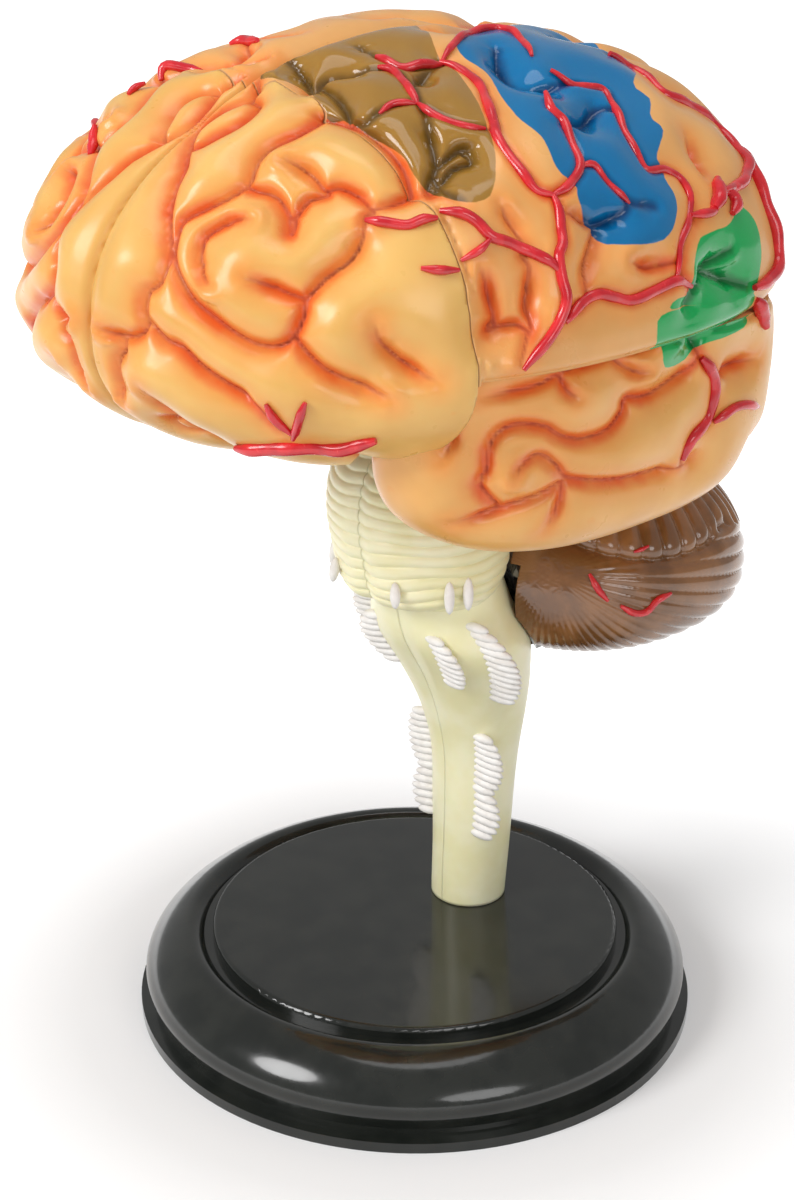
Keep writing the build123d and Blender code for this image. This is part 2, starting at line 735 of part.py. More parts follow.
with BuildPart() as parietal_lobe_left:
    add(inside(block((half, frontal_seam_y + half, temporal_seam_z + half), (far, far, 2 * far)),
               dome_surface, dome))
    add(core_clearance.part.moved(core_place), mode=Mode.SUBTRACT)
    for x, y in upper_pins:
        with Locations((x, y, (temporal_seam_z + upper_pin_top + gap) / 2)):
            Cylinder(pin_radius + pin_clearance, upper_pin_top + gap - temporal_seam_z,
                     mode=Mode.SUBTRACT)
    for x, z in frontal_pins:
        with Locations(Location((x, frontal_seam_y + (frontal_pin_length + gap) / 2, z), (90, 0, 0))):
            Cylinder(pin_radius, frontal_pin_length + gap, mode=Mode.SUBTRACT)
export_pair(parietal_lobe_left.part, "parietal_lobe")

with BuildPart() as temporal_lobe_left:
    add(inside(block((half, -far, 0), (far, far, temporal_seam_z - half)), temple_surface, temple))
    add(passage(0), mode=Mode.SUBTRACT)
    add(core_clearance.part.moved(core_place), mode=Mode.SUBTRACT)
    for x, y in lower_pins:
        with Locations((x, y, (temporal_seam_z + lower_pin_end - gap) / 2)):
            Cylinder(pin_radius + pin_clearance, temporal_seam_z - lower_pin_end + gap,
                     mode=Mode.SUBTRACT)
export_pair(temporal_lobe_left.part, "temporal_lobe")
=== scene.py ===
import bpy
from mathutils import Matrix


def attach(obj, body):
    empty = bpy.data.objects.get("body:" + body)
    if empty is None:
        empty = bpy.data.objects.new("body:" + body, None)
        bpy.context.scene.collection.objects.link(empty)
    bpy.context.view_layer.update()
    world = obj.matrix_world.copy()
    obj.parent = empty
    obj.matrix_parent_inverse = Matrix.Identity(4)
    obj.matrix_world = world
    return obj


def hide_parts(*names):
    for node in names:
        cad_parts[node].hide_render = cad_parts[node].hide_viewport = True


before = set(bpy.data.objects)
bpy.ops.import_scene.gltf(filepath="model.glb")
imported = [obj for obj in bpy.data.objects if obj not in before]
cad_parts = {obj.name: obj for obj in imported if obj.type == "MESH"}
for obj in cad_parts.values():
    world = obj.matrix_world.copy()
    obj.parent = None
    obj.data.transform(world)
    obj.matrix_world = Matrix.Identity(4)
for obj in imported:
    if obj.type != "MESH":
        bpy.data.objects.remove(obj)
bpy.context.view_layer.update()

from math import cos, pi, radians, sin

import bpy
import numpy as np
from mathutils.kdtree import KDTree

# Take-apart model of the human brain on a round stand. Lengths here are millimetres until a mesh is
# made; +X is the brain's left side, -Y its front, and X = 0 parts the two halves.
MM = 0.001

# Outer forms: centre, then the reach to the side, front, back, top and bottom
dome_centre = (0.0, -2.0, 100.0)
dome_reach = (41.3, 47.2, 46.2, 29.8, 18.0)
dome_power = 2.15
pole_centre = (26.5, 5.3, 88.5)
pole_reach = (12.5, 33.4, 22.5, 40.0, 14.1)
pole_power = 2.5
rear_centre = (0.0, 23.4, 88.8)
rear_reach = (30.3, 24.0, 16.1, 30.0, 16.0)
rear_power = 2.2
lower_middle = (10.0, 14.0, 88.0)
little_centre = (0.0, 28.5, 57.5)
little_reach = (24.0, 22.0, 19.8, 15.4, 11.5)
little_power = 2.2

# Where the pieces part: half of the gap at a seam, and how far each half stays from X = 0
half_gap = 0.07
middle_gap = 0.02
frontal_seam_y = -25.0
temporal_seam_z = 99.0
far = 200.0

# Rounded hollows, each as a centre and a reach like the forms above: for the white core, for the tip of
# the temporal lobe under the frontal one, and for the stem between the temporal lobes
core_hollow = ((0.0, 3.0, 99.0), (26.3, 25.3, 25.3, 17.3, 17.3))
tip_hollow = ((24.0, 5.5, 86.5), (18.0, 34.0, 34.0, 13.5, 17.0))
stem_hollow = ((0.0, 1.5, 88.0), (11.0, 12.0, 12.0, 30.0, 30.0))
# Square room in the cerebellum for the grey saddle, as its lowest and highest corner
saddle_low = (-10.0, 0.0, 48.7)
saddle_high = (9.7, 19.5, 62.3)

# How far round from +X a form's mesh runs, in degrees, how many points it has each way, and where the
# mesh is drawn together beyond the middle plane
dome_spread = 104
dome_cells = 430
temple_spread = 132
temple_cells = 400
little_cells = 400
apex_x = -30.0

# Creases between the folds, and the rounding along the seams
crease_depth = 4.8
crease_reach = 6.6
crease_blunt = 0.35
join_reach = 2.6
join_least = 0.3
end_depth = 0.35
bed_depth = 0.45
bed_from = 0.8
bed_to = 3.6
middle_depth = 3.6
middle_reach = 5.0
seam_depth = 1.3
seam_reach = 2.3
ledge_depth = 2.6
ledge_reach = 4.0
lower_ledge_depth = 1.2
lower_ledge_reach = 2.4
surface_sink = 0.3
soft_cells = 3.5
soft_from = 0.5
soft_to = 2.4
inner_from = 6.5

# The viewing point from which the creases were traced, and pixels of the 795 by 1200 photograph
viewpoint = np.array((186.9, -174.4, 166.7))
view_turn = radians(47.5)
view_pitch = radians(23.2)
view_focal_px = 2200.0
view_width_px = 795
view_height_px = 1200

frontal_grooves = [
    [(166, 163), (157, 184), (153, 209), (152, 230), (153, 255), (145, 283), (133, 293), (129, 309),
     (128, 332), (118, 341), (102, 338), (88, 329)],
    [(245, 92), (237, 105), (222, 115), (204, 125), (186, 135)],
    [(316, 110), (288, 125), (260, 138), (245, 153), (238, 173), (230, 182), (209, 194), (189, 204)],
    [(242, 184), (258, 188), (270, 196), (279, 212), (282, 232)],
    [(288, 212), (301, 196), (321, 189)],
    [(276, 154), (292, 160), (307, 171), (319, 184), (334, 182), (353, 190), (366, 202), (372, 211)],
    [(372, 207), (391, 202), (412, 192)],
    [(189, 204), (168, 217), (159, 237), (158, 260), (166, 283), (179, 304), (199, 321), (222, 337),
     (245, 350), (268, 352), (286, 342), (297, 319), (299, 303)],
    [(245, 217), (224, 217), (204, 225), (190, 237), (185, 255), (190, 273), (203, 288)],
    [(240, 278), (263, 288), (281, 296), (297, 301)],
    [(364, 215), (362, 230), (357, 243), (345, 261), (322, 278), (307, 293)],
    [(131, 325), (150, 346), (166, 354), (187, 375), (214, 394), (241, 408), (262, 424), (284, 440)],
    [(107, 354), (100, 367), (104, 389), (114, 408)],
    [(155, 428), (174, 439), (199, 443)],
    [(286, 341), (300, 359), (321, 378), (356, 392), (391, 404)],
    [(374, 327), (380, 348), (397, 365), (419, 378), (437, 385)],
    [(253, 66), (238, 84), (205, 100), (178, 122), (168, 150)],
    [(318, 108), (356, 119), (380, 135), (393, 148), (405, 165), (411, 186)],
]
parietal_grooves = [
    [(483, 267), (492, 287), (498, 307), (501, 322)],
    [(494, 336), (509, 331), (526, 330)],
    [(526, 255), (535, 266), (538, 287), (536, 310), (538, 327), (532, 345), (521, 373)],
    [(504, 203), (513, 221), (526, 241), (533, 253)],
    [(607, 230), (596, 272), (593, 293)],
    [(699, 133), (714, 157), (716, 174)],
    [(285, 52), (297, 64), (305, 79)],
    [(305, 79), (311, 70), (324, 64), (347, 61), (376, 59), (393, 62), (413, 77)],
    [(315, 73), (329, 82), (340, 96), (346, 112)],
    [(350, 114), (363, 117), (376, 109), (392, 100), (420, 93)],
    [(420, 93), (431, 125), (438, 152), (440, 179), (461, 200)],
    [(413, 77), (420, 93), (436, 106), (463, 118), (490, 123)],
    [(413, 77), (427, 61), (445, 52)],
    [(358, 39), (376, 46), (395, 54), (410, 59), (427, 57), (445, 52)],
    [(444, 178), (458, 162), (477, 154)],
    [(442, 50), (458, 55), (475, 65), (486, 79), (492, 99), (498, 119), (500, 133), (512, 150),
     (526, 170), (540, 187), (557, 193), (574, 182), (586, 162), (577, 136), (568, 116), (554, 105)],
    [(557, 193), (563, 210), (566, 241), (560, 255)],
    [(586, 162), (600, 162), (617, 182), (637, 201), (660, 205)],
    [(470, 140), (452, 150), (436, 166), (430, 190)],
    [(500, 40), (520, 66), (546, 78), (577, 74), (597, 77)],
    [(597, 77), (614, 82), (625, 99), (637, 125), (648, 148), (659, 165), (676, 165), (693, 173)],
    [(577, 118), (600, 112), (612, 100)],
    [(611, 52), (637, 60), (656, 71), (676, 88), (705, 102), (727, 119), (744, 142)],
    [(585, 214), (607, 222), (630, 212)],
    [(622, 298), (639, 301), (662, 292), (685, 281), (689, 255), (693, 236), (702, 213), (702, 193)],
    [(563, 318), (586, 306), (605, 295), (622, 298)],
    [(640, 262), (660, 268), (684, 262)],
    [(707, 217), (699, 229), (693, 249), (691, 273), (700, 287)],
    [(741, 249), (723, 269), (705, 287), (699, 303)],
    [(723, 271), (739, 277), (756, 287)],
]
temporal_grooves = [
    [(698, 370), (680, 385), (656, 399), (632, 402), (627, 417), (612, 435), (585, 445), (561, 442),
     (543, 432), (514, 429), (493, 438), (483, 456), (481, 477), (473, 494), (490, 515)],
    [(514, 485), (520, 471), (538, 462), (555, 474), (564, 485), (585, 490), (612, 491), (638, 488),
     (668, 481), (686, 474), (701, 465)],
    [(452, 530), (478, 524), (508, 515), (538, 505), (561, 491)],
    [(561, 491), (558, 512), (546, 533)],
    [(699, 316), (704, 345), (710, 360), (722, 374), (723, 397), (717, 423), (699, 443), (689, 466)],
    [(724, 378), (742, 368), (758, 362), (767, 359)],
    [(560, 380), (567, 393), (580, 400)],
    [(612, 355), (640, 372), (656, 372)],
    [(436, 424), (446, 440), (440, 462)],
    [(484, 398), (510, 393), (538, 386), (567, 371), (612, 356), (665, 341)],
]
# Creases out of the photograph's sight: turn from the front towards the left, and rise, in degrees
dome_unseen_grooves = [
    [(150, 4), (148, 18), (154, 32), (148, 46), (136, 58)],
    [(172, 8), (166, 20), (171, 36), (164, 50), (168, 64)],
    [(134, 12), (139, 26), (133, 38)],
    [(178, 62), (160, 72), (110, 76), (80, 80)],
    [(154, 32), (162, 28), (167, 22)],
    [(148, 46), (158, 52), (165, 52)],
    [(178, 24), (172, 27), (166, 20)],
    [(162, 5), (158, 12), (152, 16)],
    [(10, -4), (14, -12), (24, -26), (50, -44)],
    [(34, -10), (44, -24), (52, -34)],
]
temple_unseen_grooves = [
    [(118, -4), (136, -10), (156, -6), (177, -10)],
    [(112, -22), (130, -29), (150, -24), (174, -30)],
    [(146, -9), (150, -18), (148, -26)],
    [(30, -30), (50, -46), (90, -58), (130, -55), (165, -50)],
    [(20, -38), (48, -66), (110, -76), (150, -70)],
    [(177, -1), (166, -3), (158, 3), (150, 9)],
    [(170, -10), (165, -18), (171, -24)],
    [(128, -2), (132, -14), (126, -24)],
    [(104, -12), (110, -20), (106, -30)],
]

horizontal_fissure = [(556, 536), (578, 546), (600, 554), (631, 560), (661, 561), (691, 555),
                      (711, 544), (725, 526)]

# Painted areas, as outlines in the photograph
brown_area = [(250, 70), (275, 50), (300, 40), (345, 28), (375, 14), (400, 12), (424, 22), (440, 44),
              (456, 56), (470, 75), (480, 92), (490, 115), (497, 140), (500, 167), (496, 188), (489, 199),
              (469, 203), (444, 196), (430, 188), (418, 176), (408, 160), (400, 148), (382, 135),
              (357, 120), (345, 112), (319, 107), (298, 79)]
blue_area = [(456, 22), (484, 14), (510, 14), (550, 18), (575, 22), (600, 34), (640, 62), (638, 81),
             (655, 96), (658, 114), (671, 126), (668, 154), (676, 164), (676, 176), (683, 191),
             (685, 211), (678, 232), (663, 244), (617, 245), (611, 244), (605, 230), (591, 210),
             (580, 196), (577, 182), (563, 173), (554, 159), (543, 136), (520, 113), (503, 88),
             (489, 62), (458, 43)]
green_area = [(736, 199), (747, 205), (758, 217), (763, 236), (764, 277), (759, 298), (735, 304),
              (700, 309), (676, 312), (683, 300), (699, 293), (699, 281), (703, 265), (707, 239),
              (719, 229), (733, 223), (739, 213)]
lower_green_area = [(661, 300), (690, 285), (764, 262), (764, 300), (758, 310), (747, 328), (729, 338),
                    (710, 345), (697, 355), (693, 362), (677, 369), (667, 366), (662, 330)]
ledge_green_area = [(662, 322), (672, 313), (700, 306), (758, 292), (762, 300), (758, 312), (747, 330),
                    (729, 340), (710, 348), (697, 358), (677, 369), (667, 366), (662, 340)]

# Arteries: half thickness in millimetres, then the pixels that each one runs through
dome_arteries = [
    (0.62, [(442, 50), (458, 55), (475, 65), (486, 79), (492, 99), (498, 119), (500, 133), (512, 150),
            (526, 170), (540, 187), (557, 193)]),
    (0.55, [(557, 193), (574, 182), (586, 162), (577, 136), (568, 116), (554, 105), (546, 91)]),
    (0.40, [(586, 162), (600, 162), (617, 182), (637, 201)]),
    (0.60, [(557, 193), (563, 210), (566, 241), (560, 255), (563, 278), (567, 298), (563, 318),
            (549, 343), (526, 372)]),
    (0.60, [(441, 209), (463, 213), (478, 221), (492, 236), (509, 241), (532, 250), (551, 261),
            (560, 270)]),
    (0.45, [(492, 238), (480, 250), (463, 260)]),
    (0.62, [(568, 323), (586, 306), (605, 295), (622, 298), (639, 301), (662, 292), (685, 281),
            (702, 287)]),
    (0.50, [(685, 278), (689, 255), (693, 236), (702, 213), (702, 193), (693, 173), (676, 165),
            (659, 165), (648, 148), (637, 125), (625, 99), (614, 82), (597, 77), (577, 74), (554, 65)]),
    (0.55, [(702, 213), (719, 210), (722, 196), (744, 184)]),
    (0.70, [(611, 52), (637, 60), (656, 71), (676, 88), (705, 102), (727, 119), (744, 142), (750, 165),
            (744, 182), (725, 190)]),
    (0.55, [(375, 47), (401, 57), (424, 54), (444, 51)]),
    (0.50, [(377, 58), (393, 62), (404, 74), (415, 91), (418, 98)]),
    (0.40, [(418, 98), (393, 98), (378, 108)]),
    (0.45, [(418, 98), (432, 108), (449, 116), (472, 122), (489, 122)]),
    (0.45, [(444, 50), (456, 38), (474, 26), (500, 24), (522, 36), (534, 52)]),
]
frontal_arteries = [
    (0.55, [(364, 218), (384, 221), (407, 224), (424, 218), (438, 217)]),
    (0.50, [(421, 268), (440, 270), (460, 270)]),
    (0.50, [(263, 407), (273, 424), (290, 437)]),
    (0.50, [(305, 403), (298, 422), (292, 441)]),
    (0.80, [(235, 449), (262, 450), (290, 450), (318, 451), (340, 450), (360, 445), (376, 441)]),
]
temporal_arteries = [
    (0.75, [(710, 358), (722, 374), (724, 386), (723, 397), (717, 423), (699, 443), (689, 466)]),
    (0.55, [(721, 425), (728, 417), (739, 409), (749, 405), (760, 407)]),
    (0.90, [(757, 300), (763, 312), (766, 328)]),
]
rim_arteries = [
    (0.80, [(744, 142), (754, 168), (767, 200), (776, 240), (777, 262), (769, 280), (758, 288)]),
    (0.85, [(719, 207), (723, 192), (724, 176)]),
    (0.75, [(735, 213), (738, 200), (730, 186)]),
]
far_arteries = [
    (0.60, [(68, 147), (77, 132), (88, 121)]),
    (0.50, [(122, 90), (131, 83), (139, 79)]),
    (0.60, [(148, 70), (160, 63), (172, 59), (186, 56)]),
    (0.65, [(224, 37), (238, 33), (253, 33)]),
]
# Arteries of the left side that the right side repeats
repeated_arteries = (3, 4, 5, 6, 7, 8)
little_arteries = [
    (0.45, [(589, 573), (598, 589), (608, 601)]),
    (0.45, [(620, 605), (634, 612), (647, 611), (657, 599), (671, 593)]),
    (0.35, [(633, 552), (640, 550), (648, 546)]),
]


class Shell:
    """A rounded form, described by how far it reaches from its centre each way."""

    def __init__(self, centre, reach, power=2.0):
        self.centre = np.array(centre)
        self.reach = reach
        self.power = power

    def depth(self, places):
        """Below 1 inside the form, 1 on it and above 1 outside."""
        offset = places - self.centre
        x, y, z = offset[..., 0], offset[..., 1], offset[..., 2]
        side, front, back, up, down = self.reach
        length = np.where(y < 0, front, back)
        height = np.where(z < 0, down, up)
        total = abs(x / side) ** self.power + abs(y / length) ** self.power
        total = total + abs(z / height) ** self.power
        return total ** (1 / self.power)

    def radius(self, ways):
        return 1 / self.depth(self.centre + ways)

    def points(self, ways):
        return self.centre + ways * self.radius(ways)[..., None]

    def ways_to(self, places):
        offset = places - self.centre
        return offset / np.linalg.norm(offset, axis=-1)[..., None]


class JoinedShell(Shell):
    """Several forms blended into one, seen from a point inside all of them."""

    def __init__(self, centre, shells, sharpness=14.0, farthest=80.0):
        self.centre = np.array(centre)
        self.shells = shells
        self.sharpness = sharpness
        self.farthest = farthest

    def depth(self, places):
        return np.minimum.reduce([shell.depth(places) for shell in self.shells])

    def radius(self, ways):
        total = 0.0
        for shell in self.shells:
            low = np.zeros(ways.shape[:-1])
            high = np.full(ways.shape[:-1], self.farthest)
            for _ in range(26):
                middle = (low + high) / 2
                within = shell.depth(self.centre + ways * middle[..., None]) < 1
                low = np.where(within, middle, low)
                high = np.where(within, high, middle)
            total = total + low ** self.sharpness
        return total ** (1 / self.sharpness)


dome = Shell(dome_centre, dome_reach, dome_power)
temple = JoinedShell(lower_middle, [Shell(pole_centre, pole_reach, pole_power),
                                    Shell(rear_centre, rear_reach, rear_power)])
little_brain = Shell(little_centre, little_reach, little_power)


def seen_through(pixels, shell):
    """The first points of a form on the lines of sight through pixels, or the nearest to them."""
    pixels = np.array(pixels, float)
    across = (pixels[:, 0] - view_width_px / 2) / view_focal_px
    below = (pixels[:, 1] - view_height_px / 2) / view_focal_px
    away = cos(view_pitch) - sin(view_pitch) * below
    rise = -sin(view_pitch) - cos(view_pitch) * below
    sights = np.stack([cos(view_turn) * across - sin(view_turn) * away,
                       sin(view_turn) * across + cos(view_turn) * away, rise], axis=-1)
    distance = np.linalg.norm(viewpoint - shell.centre)
    steps = np.linspace(0.6, 1.3, 500) * distance
    found = []
    for sight in sights:
        depths = shell.depth(viewpoint + sight * steps[:, None])
        inside = np.flatnonzero(depths < 1)
        nearest = inside[0] if len(inside) else np.argmin(depths)
        found.append(viewpoint + sight * steps[nearest])
    return shell.points(shell.ways_to(np.array(found)))


def turned(angles, shell):
    """The points of a form at turns from the front towards the left, and rises."""
    turn, rise = np.radians(np.array(angles, float)).T
    return shell.points(np.stack([np.sin(turn) * np.cos(rise), -np.cos(turn) * np.cos(rise),
                                  np.sin(rise)], axis=-1))


def smooth_line(points, spacing):
    """Evenly spaced points of a smooth line through the given points."""
    points = np.asarray(points, float)
    ends = [2 * points[0] - points[1], 2 * points[-1] - points[-2]]
    rows = np.vstack([ends[:1], points, ends[1:]])
    share = np.linspace(0, 1, 12, endpoint=False)[:, None]
    pieces = []
    for a, b, c, d in zip(rows, rows[1:], rows[2:], rows[3:]):
        pieces.append(0.5 * (2 * b + (c - a) * share + (2 * a - 5 * b + 4 * c - d) * share ** 2
                             + (3 * b - a - 3 * c + d) * share ** 3))
    dense = np.vstack(pieces + [points[-1:]])
    length = np.concatenate([[0], np.cumsum(np.linalg.norm(np.diff(dense, axis=0), axis=1))])
    count = max(2, int(length[-1] / spacing) + 1)
    wanted = np.linspace(0, length[-1], count)
    return np.stack([np.interp(wanted, length, dense[:, k]) for k in range(3)], axis=-1)


def run_on(line, others):
    """The line with its ends led to the nearest other line, where one is near, and which ends are."""
    held = []
    for end in (0, -1):
        gaps = np.linalg.norm(others - line[end], axis=1)
        held.append(gaps.min() < join_reach)
        if held[-1] and gaps.min() > join_least:
            meeting = others[gaps.argmin()][None]
            line = np.vstack([meeting, line] if end == 0 else [line, meeting])
    return line, held


class Creases:
    """Lines on a form, with how deep each place of them is; a free end is shallow."""

    def __init__(self, lines, taper=3.0, spacing=0.3):
        rough = [smooth_line(line, 0.5) for line in lines]
        rows = []
        for i, line in enumerate(lines):
            others = np.vstack(rough[:i] + rough[i + 1:] + [np.full((1, 3), far)])
            line, held = run_on(np.asarray(line, float), others)
            rows.append((smooth_line(line, spacing), held))
        self.weights = []
        self.tree = KDTree(sum(len(row) for row, _ in rows))
        for row, held in rows:
            along = np.arange(len(row)) * spacing
            to_end = np.minimum(along + far * held[0], along[-1] - along + far * held[1])
            for place, distance in zip(row, to_end):
                self.tree.insert(place, len(self.weights))
                self.weights.append(min(1.0, end_depth + (1 - end_depth) * distance / taper))
        self.tree.balance()
        self.weights = np.array(self.weights)

    def near(self, places):
        """Distance to the nearest line at each place, and how deep the line is there."""
        found = [self.tree.find(place)[1:] for place in places]
        index, distance = np.array(found).T
        return distance, self.weights[index.astype(int)]


def rounding(distance, depth, reach, blunt=0.0):
    """How far a plump form falls away towards a crisp or blunt crease at distance 0."""
    share = np.clip((distance + blunt) / (reach + blunt), 0, 1)
    return depth * (1 - np.sqrt(np.clip(1 - (1 - share) ** 2, 0, 1)))


def swell(places):
    """A slow unevenness, as in hand-modelled folds."""
    x, y, z = places[:, 0], places[:, 1], places[:, 2]
    return 0.3 * np.sin(x / 5.1 + 1.0) * np.sin(y / 6.3) + 0.25 * np.sin(z / 4.7 + y / 7.9)


dome_creases = Creases([seen_through(line, dome) for line in frontal_grooves + parietal_grooves]
                       + [turned(line, dome) for line in dome_unseen_grooves])
temple_creases = Creases([seen_through(line, temple) for line in temporal_grooves]
                         + [turned(line, temple) for line in temple_unseen_grooves])
dome_beds = Creases([seen_through(line, dome) for _, line in dome_arteries + frontal_arteries], 0.5)
temple_beds = Creases([seen_through(line, temple) for _, line in temporal_arteries], 0.5)


def shallow(beds, places):
    """The share of a crease's depth that is left beside an artery, which fills the crease."""
    share = np.clip((beds.near(places)[0] - bed_from) / (bed_to - bed_from), 0, 1)
    return bed_depth + (1 - bed_depth) * share * share * (3 - 2 * share)


def fold_relief(creases, beds, places):
    """The distance to the nearest crease, and how deep the folds' surface lies there."""
    distance, weight = creases.near(places)
    depth = rounding(distance, crease_depth * weight, crease_reach, crease_blunt)
    return distance, depth * shallow(beds, places)


def dome_relief(places):
    """How deep the upper forms' surface lies, and how near it is to a line that stays crisp."""
    distance, folds = fold_relief(dome_creases, dome_beds, places)
    x, y, z = abs(places[:, 0]), places[:, 1], places[:, 2]
    across = rounding(abs(y - frontal_seam_y), seam_depth, seam_reach)
    behind = y > frontal_seam_y
    level = np.where(behind, rounding(abs(z - temporal_seam_z), ledge_depth, ledge_reach), 0)
    middle = rounding(x, middle_depth, middle_reach)
    depth = np.maximum.reduce([folds, across, level, middle]) + surface_sink + swell(places) * 0.8
    crisp = [distance, x + soft_from, abs(y - frontal_seam_y) + soft_from]
    crisp.append(np.where(behind, abs(z - temporal_seam_z), far))
    return depth, np.minimum.reduce(crisp)


def temple_relief(places):
    """The same for the lower form."""
    distance, folds = fold_relief(temple_creases, temple_beds, places)
    from_seam = abs(places[:, 2] - temporal_seam_z)
    level = rounding(from_seam, lower_ledge_depth, lower_ledge_reach)
    depth = np.maximum(folds, level) + surface_sink + swell(places) * 0.6
    return depth, np.minimum(distance, from_seam)


def softened(depth, distance, count):
    """The relief with the meeting lines between folds smoothed away, and the creases kept crisp."""
    reach = int(3 * soft_cells)
    bell = np.exp(-0.5 * (np.arange(-reach, reach + 1) / soft_cells) ** 2)
    bell /= bell.sum()
    soft = depth.reshape(count, count)
    for _ in range(2):
        padded = np.pad(soft, ((reach, reach), (0, 0)), mode="edge")
        soft = sum(share * padded[i:i + count] for i, share in enumerate(bell)).T
    share = np.clip((distance - soft_from) / (soft_to - soft_from), 0, 1)
    share = share * share * (3 - 2 * share)
    return depth * (1 - share) + soft.reshape(-1) * share


def left_ways(widest, count):
    """Directions over the whole left side, spread evenly from +X past the middle plane."""
    steps = np.linspace(-1, 1, count)
    u, v = np.meshgrid(steps, steps, indexing="ij")
    a = u * np.sqrt(1 - v * v / 2)
    b = v * np.sqrt(1 - u * u / 2)
    r = np.hypot(a, b)
    spread = r * radians(widest)
    share = np.where(r < 1e-9, 1.0, np.sin(spread) / np.maximum(r, 1e-9))
    return np.stack([np.cos(spread), share * a, share * b], axis=-1).reshape(-1, 3)


def linked(name, data):
    """A new object in the scene that shows this data."""
    thing = bpy.data.objects.new(name, data)
    bpy.context.collection.objects.link(thing)
    return thing


def mesh_object(name, places, faces, edges=()):
    mesh = bpy.data.meshes.new(name)
    mesh.from_pydata((np.asarray(places) * MM).tolist(), list(edges), faces)
    mesh.update()
    return linked(name, mesh)


def places_of(piece):
    flat = np.empty(3 * len(piece.data.vertices))
    piece.data.vertices.foreach_get("co", flat)
    return flat.reshape(-1, 3) / MM


def grid_faces(rows, columns, wrapped=False):
    index = np.arange(rows * columns).reshape(rows, columns)
    following = np.roll(index, -1, axis=1) if wrapped else index[:, 1:]
    index = index if wrapped else index[:, :-1]
    corners = [index[:-1], following[:-1], following[1:], index[1:]]
    return np.stack(corners, axis=-1).reshape(-1, 4).tolist()


def star_form(name, shell, relief, widest, count):
    """A closed dense form: the relief over the left side, drawn to one point on the far side."""
    ways = left_ways(widest, count)
    base = shell.points(ways)
    places = base - ways * softened(*relief(base), count)[:, None]
    faces = grid_faces(count, count)
    top = list(range(count))
    right = [count * i + count - 1 for i in range(count)]
    bottom = [count * (count - 1) + i for i in reversed(range(count))]
    left = [count * i for i in reversed(range(count))]
    border = top[:-1] + right[:-1] + bottom[:-1] + left[:-1]
    apex = len(places)
    faces += [[border[i - 1], apex, border[i]] for i in range(len(border))]
    far_point = [[apex_x, shell.centre[1], shell.centre[2]]]
    return mesh_object(name, np.vstack([places, far_point]), [face[::-1] for face in faces])


def block(low, high):
    corners = [(x, y, z) for x in (low[0], high[0]) for y in (low[1], high[1])
               for z in (low[2], high[2])]
    faces = [(0, 1, 3, 2), (4, 6, 7, 5), (0, 4, 5, 1), (2, 3, 7, 6), (0, 2, 6, 4), (1, 5, 7, 3)]
    return mesh_object("cutter", corners, faces)


def round_form(centre, reach, rows=96, columns=192):
    """A closed rounded form with its poles above and below."""
    shell = Shell(centre, reach)
    rise = np.linspace(-pi / 2, pi / 2, rows + 1)[1:-1]
    turn = np.linspace(0, 2 * pi, columns, endpoint=False)
    rise, turn = np.meshgrid(rise, turn, indexing="ij")
    ways = np.stack([np.cos(rise) * np.cos(turn), np.cos(rise) * np.sin(turn), np.sin(rise)], axis=-1)
    places = list(shell.points(ways).reshape(-1, 3))
    places += list(shell.points(np.array([[0, 0, -1.0], [0, 0, 1.0]])))
    faces = grid_faces(rows - 1, columns, True) + pole_faces(rows - 1, columns)
    return mesh_object("cutter", places, faces)


def pole_faces(rows, columns):
    """Triangles that close a wrapped grid at its first and last row, with their points at its end."""
    low, high = rows * columns, rows * columns + 1
    last = (rows - 1) * columns
    faces = []
    for i in range(columns):
        following = (i + 1) % columns
        faces.append([low, following, i])
        faces.append([high, last + i, last + following])
    return faces


def settle(piece):
    """Make the result of the modifiers the piece's own mesh."""
    evaluated = piece.evaluated_get(bpy.context.evaluated_depsgraph_get())
    mesh = bpy.data.meshes.new_from_object(evaluated)
    old = piece.data
    piece.modifiers.clear()
    piece.data = mesh
    mesh.name = piece.name
    bpy.data.meshes.remove(old)


def cut(piece, tool, operation):
    """Add a tool to a piece, take it away or keep what they share; the tool is used up."""
    change = piece.modifiers.new("cut", "BOOLEAN")
    change.operation = operation
    change.solver = "MANIFOLD"
    change.object = tool
    settle(piece)
    old = tool.data
    bpy.data.objects.remove(tool)
    bpy.data.meshes.remove(old)


def mirrored(piece, name):
    """The same piece on the other side of X = 0."""
    mesh = piece.data.copy()
    flat = np.empty(3 * len(mesh.vertices))
    mesh.vertices.foreach_get("co", flat)
    flat[0::3] *= -1
    mesh.vertices.foreach_set("co", flat)
    mesh.flip_normals()
    mesh.name = name
    return linked(name, mesh)


def finish_with(piece, *materials):
    piece.data.materials.clear()
    for material in materials:
        piece.data.materials.append(material)


def give(piece, name, values):
    """Store one number for each point of a piece."""
    layer = piece.data.attributes.new(name, "FLOAT", "POINT")
    layer.data.foreach_set("value", np.ascontiguousarray(values, dtype=np.float32))


def shade(piece, planes):
    """Smooth all faces but the flat ones where a piece was parted from the next."""
    mesh = piece.data
    count = len(mesh.polygons)
    centres, normals = np.empty(3 * count), np.empty(3 * count)
    mesh.polygons.foreach_get("center", centres)
    mesh.polygons.foreach_get("normal", normals)
    centres, normals = centres.reshape(-1, 3) / MM, normals.reshape(-1, 3)
    flat = np.zeros(count, bool)
    for axis, value in planes:
        flat |= (abs(normals[:, axis]) > 0.999) & (abs(centres[:, axis] - value) < 0.02)
    mesh.polygons.foreach_set("use_smooth", ~flat)
    return flat


# Painted areas. usual_radius turns an angle on a form into millimetres, and beyond widest_edge from its
# outline an area's number stays the same
usual_radius = 42.0
widest_edge = 6.0


